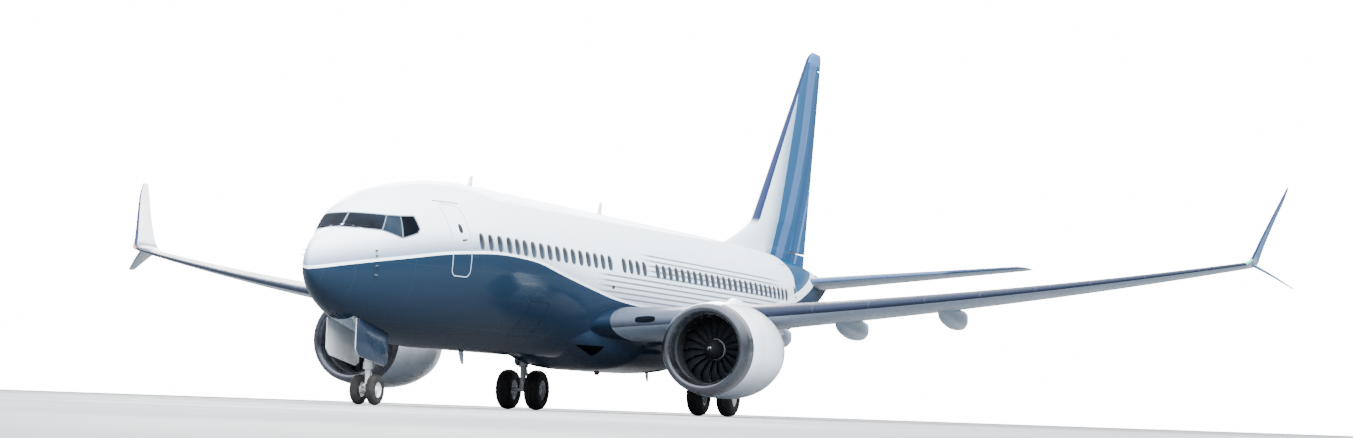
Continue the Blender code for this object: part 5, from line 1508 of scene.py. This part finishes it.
def makeWheel(name, node, body, x, station, height, radius, width, axle):
    middle = (station, height)
    tyre = turned("across", tyreSection(radius, width) + (x, 0), middle, 96, loop=True)
    rim = radius * 0.525
    hub = turned("across", hubSection(rim, axle) * (width, 1) + (x, 0), middle, 72, loop=True)
    bolts = []
    ring, thick = rim * tyreLook["boltRing"], rim * tyreLook["bolt"]
    for turn in 2 * math.pi * np.arange(tyreLook["bolts"]) / tyreLook["bolts"]:
        at = (station + ring * math.cos(turn), height + ring * math.sin(turn))
        for end in (-1, 1):
            line = [(x + end * width * 0.10, thick), (x + end * width * 0.19, thick)]
            bolts.append(turned("across", line, at, 10))
    buildPiece(name, [tyre, hub] + bolts, [rubber, gearPaint] + [chrome] * len(bolts), body=body,
               replaced=(node,), sharp=50)


# Main gear. The collars' rows are (height over the axle, radius). A hose's points, and the brace's, are
# (distance outboard of the leg, distance aft, height over the axle).
legCollars = (((0.63, 0.131), (0.65, 0.138), (0.74, 0.138), (0.76, 0.131)),
              ((1.20, 0.131), (1.22, 0.140), (1.27, 0.140), (1.29, 0.131)))
legHoses = (
    (0.012, ((-0.14, -0.07, 1.735), (-0.16, -0.10, 1.1), (-0.13, -0.12, 0.70), (-0.15, -0.20, 0.40),
             (-0.12, -0.12, 0.09))),
    (0.010, ((0.10, -0.12, 1.685), (0.09, -0.14, 1.0), (0.10, -0.18, 0.55), (0.10, -0.10, 0.08))),
)
legBrace = (0.028, ((-0.02, 0.04, 1.28), (-0.9, 0.02, 1.485)))


def makeMainGear(label, side):
    look = gearLook
    station, centre = look["mainStation"], side * look["mainX"]
    axle = look["mainRadius"] - lobeHeight
    smoothCopy(f"mainLeg_{label}", f"main_gear_leg_{label}", gearPaint, 0.006)
    smoothCopy(f"mainDoor_{label}", f"main_gear_door_{label}", gearDoorPaint, 0.006)
    for name, offset in (("inner", -1), ("outer", 1)):
        x = centre + side * offset * look["mainSpacing"] / 2
        makeWheel(f"mainWheel_{name}_{label}", f"main_wheel_{name}_{label}", f"main_wheels_{label}", x,
                  station, axle, look["mainRadius"], look["mainWidth"], 0.0552)

    def placed(points):
        return np.array(points) * (side, 1, 1) + (centre, station, axle)

    collars = [turned("up", np.array(rows) + (axle, 0), (centre, station)) for rows in legCollars]
    hoses = [tube(curvePath(placed(points), 40), radius, 8) for radius, points in legHoses]
    brace = tube(placed(legBrace[1]), legBrace[0], 12)
    finishes = [gearPaint, gearPaint, blackRubber, blackRubber, chrome]
    buildPiece(f"mainGearFittings_{label}", collars + hoses + [brace], finishes)


# Nose gear, with two taxi lamps on the leg. The lamp's rows are (distance aft, radius).
noseLamp = {"across": 0.09, "over": 0.95, "rows": ((-0.165, 0.062), (-0.125, 0.066), (-0.09, 0.03))}
noseHose = ((0.07, -0.09, 1.3), (0.10, -0.11, 0.95), (0.09, -0.12, 0.75))


def makeNoseGear():
    look = gearLook
    station = look["noseStation"]
    axle = look["noseRadius"] - lobeHeight
    smoothCopy("noseLeg", "nose_gear_leg", gearPaint, 0.005)
    smoothCopy("noseStrut", "nose_gear_strut", gearPaint, 0.004, body="nose_steering")
    lamps = []
    for label, side in sides:
        makeWheel(f"noseWheel_{label}", f"nose_wheel_{label}", "nose_wheels", side * look["noseSpacing"] / 2,
                  station, axle, look["noseRadius"], look["noseWidth"], 0.0322)
        smoothCopy(f"noseDoor_{label}", f"nose_gear_door_{label}", gearDoorPaint, 0.005)
        rows = np.array(noseLamp["rows"]) + (station, 0)
        lamps.append(turned("aft", rows, (side * noseLamp["across"], axle + noseLamp["over"]), 28))
    hose = tube(curvePath(np.array(noseHose) + (0, station, axle), 24), 0.009, 8)
    buildPiece("noseGearLamps", lamps + [hose], [clearLamp, clearLamp, blackRubber])


for label, side in sides:
    makeMainGear(label, side)
makeNoseGear()
print("gear made")


# Flight deck glass. Each pane has a lower and an upper edge, as rows of (share across, x, station, height)
# on the hull from its front to its rear. The starboard panes mirror the port ones.
paneEdges = (
    (((0, 0.028, 1.675, 0.405), (1, 0.802, 2.158, 0.371)),
     ((0, 0.024, 2.105, 0.736), (1, 0.765, 2.417, 0.704))),
    (((0, 0.824, 2.185, 0.362), (1, 1.066, 2.66, 0.238)),
     ((0, 0.785, 2.433, 0.704), (1, 0.934, 2.78, 0.712))),
    (((0, 1.086, 2.71, 0.244), (0.86, 1.196, 3.18, 0.382), (1, 1.195, 3.26, 0.470)),
     ((0, 0.956, 2.805, 0.713), (1, 1.066, 3.20, 0.743))),
)
bandEdges = (
    ((0, 0.0, 1.655, 0.380), (0.45, 0.82, 2.15, 0.343), (0.70, 1.08, 2.67, 0.205), (0.95, 1.21, 3.19, 0.35),
     (1, 1.215, 3.31, 0.465)),
    ((0, 0.0, 2.14, 0.762), (0.45, 0.78, 2.45, 0.728), (0.70, 0.95, 2.80, 0.737), (1, 1.08, 3.25, 0.772)),
)
glassLook = {"out": 0.007, "depth": 0.02, "frameOut": 0.0035, "frameDepth": 0.024, "across": 40, "up": 14,
             "pivot": 3.4, "reach": 2.9}
wiperLook = {"base": (0.30, 1.74, 0.40), "tip": (0.60, 1.98, 0.40), "over": 0.02, "radius": 0.010}


# The hull's point at an angle round an upright line through the pivot station, and at a height:
# the reach out from that line is found by halving the interval between inside and outside
def onHullAt(angle, height):
    near, far = np.zeros(angle.shape), np.full(angle.shape, glassLook["reach"])
    for _ in range(30):
        reach = (near + far) / 2
        points = np.stack([reach * np.sin(angle), glassLook["pivot"] - reach * np.cos(angle), height], -1)
        inside = bodyLevel(points) < 1
        near, far = np.where(inside, reach, near), np.where(inside, far, reach)
    return points


def paneGrid(edges, side):
    across = np.linspace(0, 1, glassLook["across"])
    up = np.linspace(0, 1, glassLook["up"])[None, :]
    lines = []
    for edge in edges:
        share, x, station, height = np.array(edge).T
        angle = np.arctan2(x, glassLook["pivot"] - station)
        lines.append((np.interp(across, share, angle)[:, None], np.interp(across, share, height)[:, None]))
    angle, height = (lines[0][k] * (1 - up) + lines[1][k] * up for k in (0, 1))
    return onHullAt(angle, height) * (side, 1, 1)


def makeFlightDeck():
    look = glassLook
    panes, frames, tints, wipers = [], [], [], []
    for _, side in sides:
        for edges in paneEdges:
            grid = paneGrid(edges, side)
            panes.append(slab(laidOnBody(grid, look["out"]), laidOnBody(grid, -look["depth"])))
        tints += [deckGlass, quarterGlass, rearGlass]
        grid = paneGrid(bandEdges, side)
        frames.append(slab(laidOnBody(grid, look["frameOut"]), laidOnBody(grid, -look["frameDepth"])))
        base, tip = (np.array(wiperLook[end]) * (side, 1, 1) for end in ("base", "tip"))
        arm = laidOnBody(base + (tip - base) * np.linspace(0, 1, 12)[:, None], wiperLook["over"])
        pivot = laidOnBody(np.array([base, base + (0, 0.005, 0.004)]), wiperLook["over"] / 2)
        wipers += [tube(arm, wiperLook["radius"], 8), tube(pivot, wiperLook["over"], 10)]
    buildPiece("flightDeckGlass", panes, tints)
    buildPiece("flightDeckFrames", frames, [frameMetal] * len(frames))
    buildPiece("wipers", wipers, [blackRubber] * len(wipers))


makeFlightDeck()


# Cabin windows: dark glass set towards the front of a grey reveal, one frame pitch apart. Beside the nose the
# first ones stand apart from the rest: "front" is (shift aft, part of the width) for each of them.
windowLook = {"first": 5.28, "pitch": 0.508, "count": 48, "blank": (17, 22), "height": 0.36,
              "halfWide": 0.128, "halfHigh": 0.180, "out": 0.0055, "shift": -0.030,
              "revealWide": 0.176, "revealHigh": 0.203, "revealOut": 0.003,
              "front": ((0.32, 0.66), (0.21, 0.72), (0.135, 0.80), (0.09, 0.88), (0.04, 0.94))}


def makeCabinWindows(label, side):
    look = windowLook
    glass, reveals = [], []
    for i in range(look["count"]):
        if i in look["blank"]:
            continue
        shift, narrow = look["front"][i] if i < len(look["front"]) else (0, 1)
        station = look["first"] + look["pitch"] * i + shift
        pane = (station + look["shift"] * narrow, look["height"])
        glass.append(ovalPlate(pane, look["halfWide"] * narrow, look["halfHigh"], side, look["out"]))
        reveals.append(ovalPlate((station, look["height"]), look["revealWide"] * narrow, look["revealHigh"],
                                 side, look["revealOut"], 0.008))
    buildPiece(f"cabinWindows_{label}", glass, [cabinGlass] * len(glass))
    buildPiece(f"windowReveals_{label}", reveals, [revealGrey] * len(reveals))


# Door outlines: (front, rear, low, high, corner radius) on a flank. The cabin doors also have a small window,
# a handle and a gutter above them, placed from the door's middle: (aft, height), and for the gutter from its
# front and rear corners.
doorLook = {"width": 0.022, "fine": 0.012, "out": 0.004, "window": (0.05, 0.60), "windowHalf": (0.075, 0.11),
            "handle": ((0.02, 0.33), (0.20, 0.35)), "handleOut": 0.010, "handleRadius": 0.016,
            "gutter": (-0.10, 0.08), "over": 0.06, "gutterWidth": 0.02, "gutterOut": 0.012}
cabinDoors = {"forward": (4.40, 5.13, -0.50, 1.14, 0.16), "aft": (29.98, 30.68, -0.22, 1.32, 0.16)}
hatches = {"overwingOne": (17.42, 17.98, 0.02, 0.95, 0.14), "overwingTwo": (18.46, 19.02, 0.02, 0.95, 0.14)}
cargoDoors = {"forwardHold": (8.55, 9.75, -1.72, -0.86, 0.10), "aftHold": (24.6, 25.8, -1.62, -0.80, 0.10)}


def makeDoors(label, side):
    look = doorLook
    groups = [(cabinDoors, look["width"], seamPaint), (hatches, look["fine"], faintSeam)]
    if side > 0:
        groups.append((cargoDoors, look["fine"], navySeam))
    for doors, width, finish in groups:
        for name, door in doors.items():
            path = flank(roundedOutline(*door), side)
            buildPiece(f"{name}Outline_{label}", [seam(path, width, look["out"], loop=True)], [finish])
    small = []
    for front, rear, _, high, _ in cabinDoors.values():
        middle = (front + rear) / 2
        pane = (middle + look["window"][0], look["window"][1])
        first, last = flank(np.array(look["handle"]) + (middle, 0), side)
        handle = laidOnBody(first + (last - first) * np.linspace(0, 1, 8)[:, None], look["handleOut"])
        above = np.linspace(front + look["gutter"][0], rear + look["gutter"][1], 16)
        gutter = flank(np.stack([above, np.full(16, high + look["over"])], -1), side)
        small += [
            (ovalPlate(pane, *look["windowHalf"], side, 0.005), windowGlass),
            (tube(handle, look["handleRadius"], 8), blackRubber),
            (seam(gutter, look["gutterWidth"], look["gutterOut"]), frameMetal),
        ]
    buildPiece(f"doorFittings_{label}", [shape for shape, _ in small], [finish for _, finish in small])


for label, side in sides:
    makeCabinWindows(label, side)
    makeDoors(label, side)
print("windows and doors made")


# Blade antennas and the drain mast: (name, node in the part, finish, sizes), with the sizes as
# (station, height, rise, chord, lean aft, tip's part of the chord, thickness). The tip's front is rounded.
finTable = (
    ("crownAntennaFront", "antenna_front", whitePaint, (8.32, 1.83, 0.34, 0.34, 0.18, 0.55, 0.12)),
    ("crownAntennaRear", "antenna_rear", whitePaint, (16.96, 1.83, 0.42, 0.36, 0.18, 0.55, 0.12)),
    ("bellyAntenna", "antenna_belly", podPaint, (8.22, -2.08, -0.36, 0.32, 0.18, 0.55, 0.12)),
    ("drainMast", "drain_mast", greyPaint, (21.1, -2.05, -0.52, 0.34, 0.16, 0.59, 0.16)),
)


def bladeFin(station, height, rise, chord, lean, tipPart, thickness):
    part = np.linspace(0, 1, 14)
    rounding = np.clip((part - 0.8) / 0.2, 0, 1) ** 2
    front = station + lean * part + 0.25 * chord * rounding
    length = chord * (1 - (1 - tipPart) * part) * (1 - 0.45 * rounding)
    leading = np.stack([0 * part, front, height + rise * part], -1)
    trailing = leading + np.stack([0 * part, length, 0 * part], -1)
    return shell(foilRings(leading, trailing, thickness, (1, 0, 0), count=18)[0])


# The belly's beacon as rows of (height, radius), the lamps that light the wing, and the nose probes:
# (height, length) of each, bent forward from a foot plate on the flank
beaconLook = {"station": 17.4,
              "rows": ((-2.36, 0.085), (-2.40, 0.083), (-2.45, 0.07), (-2.485, 0.05), (-2.49, 0.02))}
wingLight = ((13.64, -0.25), 0.10, 0.045)
probeLook = {"station": 1.88, "out": 0.075, "bend": 0.03, "foot": (0.035, 0.022),
             "radii": (0.016, 0.011, 0.007),
             "each": ((-0.12, 0.13), (-0.232, 0.13), (-0.452, 0.13), (-0.652, 0.10))}


def makeProbe(height, length, side):
    look = probeLook
    base = flank(np.array([(look["station"], height)]), side)[0]
    foot, out = laidOnBody(base), laidOnBody(base, look["out"])
    bend, tip = out - (0, look["bend"], 0), out - (0, length, 0)
    path = curvePath((foot, foot * 0.3 + out * 0.7, bend, tip), 16)
    plate = ovalPlate((look["station"], height), *look["foot"], side, 0.004)
    return [tube(path, np.interp(np.arange(16), (0, 6, 15), look["radii"]), 8), plate]


def makeSmallPieces():
    for name, node, finish, sizes in finTable:
        buildPiece(name, [bladeFin(*sizes)], [finish], replaced=(node,))
    beacon = turned("up", beaconLook["rows"], (0, beaconLook["station"]))
    buildPiece("bellyBeacon", [beacon], [redBeacon], replaced=("belly_beacon",))
    lights = [ovalPlate(*wingLight, side, 0.006) for _, side in sides]
    buildPiece("wingInspectionLights", lights, [windowGlass] * 2)
    probes = []
    for _, side in sides:
        for height, length in probeLook["each"]:
            probes += makeProbe(height, length, side)
    buildPiece("airDataProbes", probes, [probeMetal] * len(probes))


# The three-cornered inlet on each side of the belly, a dark plate on the fairing as painted shade for the
# opening, given by its corners at front, rear and below.
# Its points are moved out to the fairing's section, where (x / width)^p + (z / depth)^p = 1.
inletLook = {"front": (1.121, 12.976, -1.779), "rear": (1.512, 14.026, -1.780),
             "low": (1.139, 14.072, -2.038), "corner": 0.55, "out": 0.004, "depth": 0.04}


def laidOnFairing(points, out):
    wide, deep = fairingSize(points[..., 1])
    middle, power = fairingLook["middle"], 2 / fairingLook["power"]
    level = (np.abs(points[..., 0]) / wide) ** power + (np.abs(points[..., 2] - middle) / deep) ** power
    grow = level ** (-1 / power) + out
    return np.stack([points[..., 0] * grow, points[..., 1], (points[..., 2] - middle) * grow + middle], -1)


def bellyInlet(side):
    look = inletLook
    front, rear, low = (np.array(look[key]) for key in ("front", "rear", "low"))
    corner = look["corner"]
    along = np.linspace(0, 1, 16)[:, None, None]
    down = np.linspace(0, 1, 10)[None, :, None]
    top = front + (rear - front) * along
    falling, rising = along / corner, (along - corner) / (1 - corner)
    bottom = np.where(along < corner, front + (low - front) * falling, low + (rear - low) * rising)
    grid = top + (bottom - top) * down * 0.995
    return slab(laidOnFairing(grid, look["out"]) * (side, 1, 1),
                laidOnFairing(grid, -look["depth"]) * (side, 1, 1))


# The landing lamp's cover: a lens over the wing's leading edge beside the body, widest in its middle.
# Its part of the chord is edge + reach sqrt(1 - ((x - middle) / half)^2).
lensLook = {"from": 2.50, "to": 2.96, "middle": 2.73, "half": 0.231, "edge": 0.0003, "reach": 0.0042,
            "ahead": 0.006, "thickness": 1.05}


def landingLens(side):
    look = lensLook
    xs = np.linspace(look["from"], look["to"], 20)
    front, frontHeight, rear, rearHeight = wingEdges(xs)
    leading = np.stack([side * xs, front - look["ahead"], frontHeight], -1)
    trailing = np.stack([side * xs, rear, rearHeight], -1)
    bow = np.sqrt(np.clip(1 - ((xs - look["middle"]) / look["half"]) ** 2, 0, 1))
    end = look["edge"] + look["reach"] * bow
    thickness = wingThickness(xs) * look["thickness"]
    return shell(foilRings(leading, trailing, thickness, (0, 0, 1), 0.0, end, 10)[0])


# The lining of the small engine's exhaust in the tail cone: a dark cup
cupRows = ((37.806, 0.147), (38.0, 0.147), (38.147, 0.147), (38.147, 0.138), (38.0, 0.134), (37.83, 0.130))


def makeHollows():
    buildPiece("bellyInlets", [bellyInlet(side) for _, side in sides], [darkHollow] * 2)
    buildPiece("landingLamps", [landingLens(side) for _, side in sides], [rearGlass] * 2)
    cup = turned("aft", cupRows, (0, 1.08), caps=(37.806, 37.83))
    buildPiece("exhaustCup", [cup], [darkHollow])


makeSmallPieces()
makeHollows()
print("small pieces made")


# Stage: a pale round floor and large soft lamps: (name, place, aim, size, power). Only the rim lamp shows in
# what is polished, as a long highlight along the top.
floorLook = {"radius": 320, "depth": 0.4, "steps": 96}
stageLamps = (
    ("keyLamp", (40, -46, 40), (0, 0, 4), (60, 40), 200000),
    ("noseLamp", (-24, -66, 34), (0, -8, 3), (60, 30), 80000),
    ("rimLamp", (-30, 50, 26), (0, 10, 4), (40, 20), 60000),
)


def makeStage():
    steps = floorLook["steps"]
    angles = turnAngles(steps)
    disc = np.stack([np.cos(angles), np.sin(angles), 0 * angles], -1) * floorLook["radius"]
    index = np.arange(steps)
    after = np.roll(index, -1)
    walls = np.stack([index, after, after + steps, index + steps], -1)[:, ::-1]
    faces = [index.tolist(), (index + steps)[::-1].tolist()] + walls.tolist()
    mesh = bpy.data.meshes.new("paleFloor")
    mesh.from_pydata(np.concatenate([disc, disc - (0, 0, floorLook["depth"])]).tolist(), [], faces)
    mesh.materials.append(surface("pale_floor", {
        "colour": "#737577", "dirt": "#6D6F72", "roughness": 0.65, "patch": 0.15, "grain": 20.0, "bump": 0.01,
        "wear": 0.4,
    }))
    floor = bpy.data.objects.new("paleFloor", mesh)
    bpy.context.scene.collection.objects.link(floor)
    for name, where, aim, size, power in stageLamps:
        light = bpy.data.lights.new(name, "AREA")
        light.shape, light.size, light.size_y, light.energy = "RECTANGLE", size[0], size[1], power
        lamp = bpy.data.objects.new(name, light)
        lamp.visible_glossy = name == "rimLamp"
        lamp.location = where
        lamp.rotation_euler = (Vector(aim) - Vector(where)).to_track_quat("-Z", "Y").to_euler()
        bpy.context.scene.collection.objects.link(lamp)


# World: plain white to the camera. What reflects it gets a soft grey-blue gradient, from strength 0.7 at the
# horizon and below to 5.0 overhead.
worldLook = {"low": "#C3D0DE", "high": "#F7FAFD", "colours": (-0.1, 0.5), "rise": (0.0, 0.9),
             "strength": (0.7, 5.0), "white": 16.0}


def makeWorld():
    look = worldLook
    world = bpy.data.worlds.new("studio")
    bpy.context.scene.world = world
    world.use_nodes = True
    tree = world.node_tree
    tree.nodes.clear()
    direction = addNode(tree, "ShaderNodeTexCoord", output=0)
    height = addNode(tree, "ShaderNodeSeparateXYZ", {0: direction}, 2)
    gradient = mixed(tree, scaleOf(tree, *look["colours"], height), look["low"], look["high"])
    strength = scaleOf(tree, *look["rise"], height, *look["strength"])
    soft = addNode(tree, "ShaderNodeBackground", {"Color": gradient, "Strength": strength})
    white = addNode(tree, "ShaderNodeBackground", {"Color": (1, 1, 1, 1), "Strength": look["white"]})
    seen = addNode(tree, "ShaderNodeLightPath")
    both = addNode(tree, "ShaderNodeMixShader", {0: seen, 1: soft, 2: white})
    addNode(tree, "ShaderNodeOutputWorld", {"Surface": both})


# Camera: just above the floor ahead of the port wing, turned 19.98 degrees and looking 4.1 degrees up, with
# the picture rolled by 1.98 degrees
cameraLook = {"at": (27.16, -71.365, 0.08), "yaw": 19.98, "pitch": 4.10, "roll": 1.98, "lens": 71.62}


def makeCamera():
    yaw, pitch, roll = (math.radians(cameraLook[key]) for key in ("yaw", "pitch", "roll"))
    ahead = Vector((-math.sin(yaw) * math.cos(pitch), math.cos(yaw) * math.cos(pitch), math.sin(pitch)))
    level = ahead.cross(Vector((0, 0, 1))).normalized()
    above = level.cross(ahead)
    right = level * math.cos(roll) + above * math.sin(roll)
    up = above * math.cos(roll) - level * math.sin(roll)
    data = bpy.data.cameras.new("camera")
    data.lens = cameraLook["lens"]
    data.clip_end = 900
    camera = bpy.data.objects.new("camera", data)
    bpy.context.scene.collection.objects.link(camera)
    columns = (right, up, -ahead, Vector(cameraLook["at"]))
    camera.matrix_world = Matrix([[column[row] for column in columns] for row in range(3)] + [[0, 0, 0, 1]])
    bpy.context.scene.camera = camera


makeStage()
makeWorld()
makeCamera()
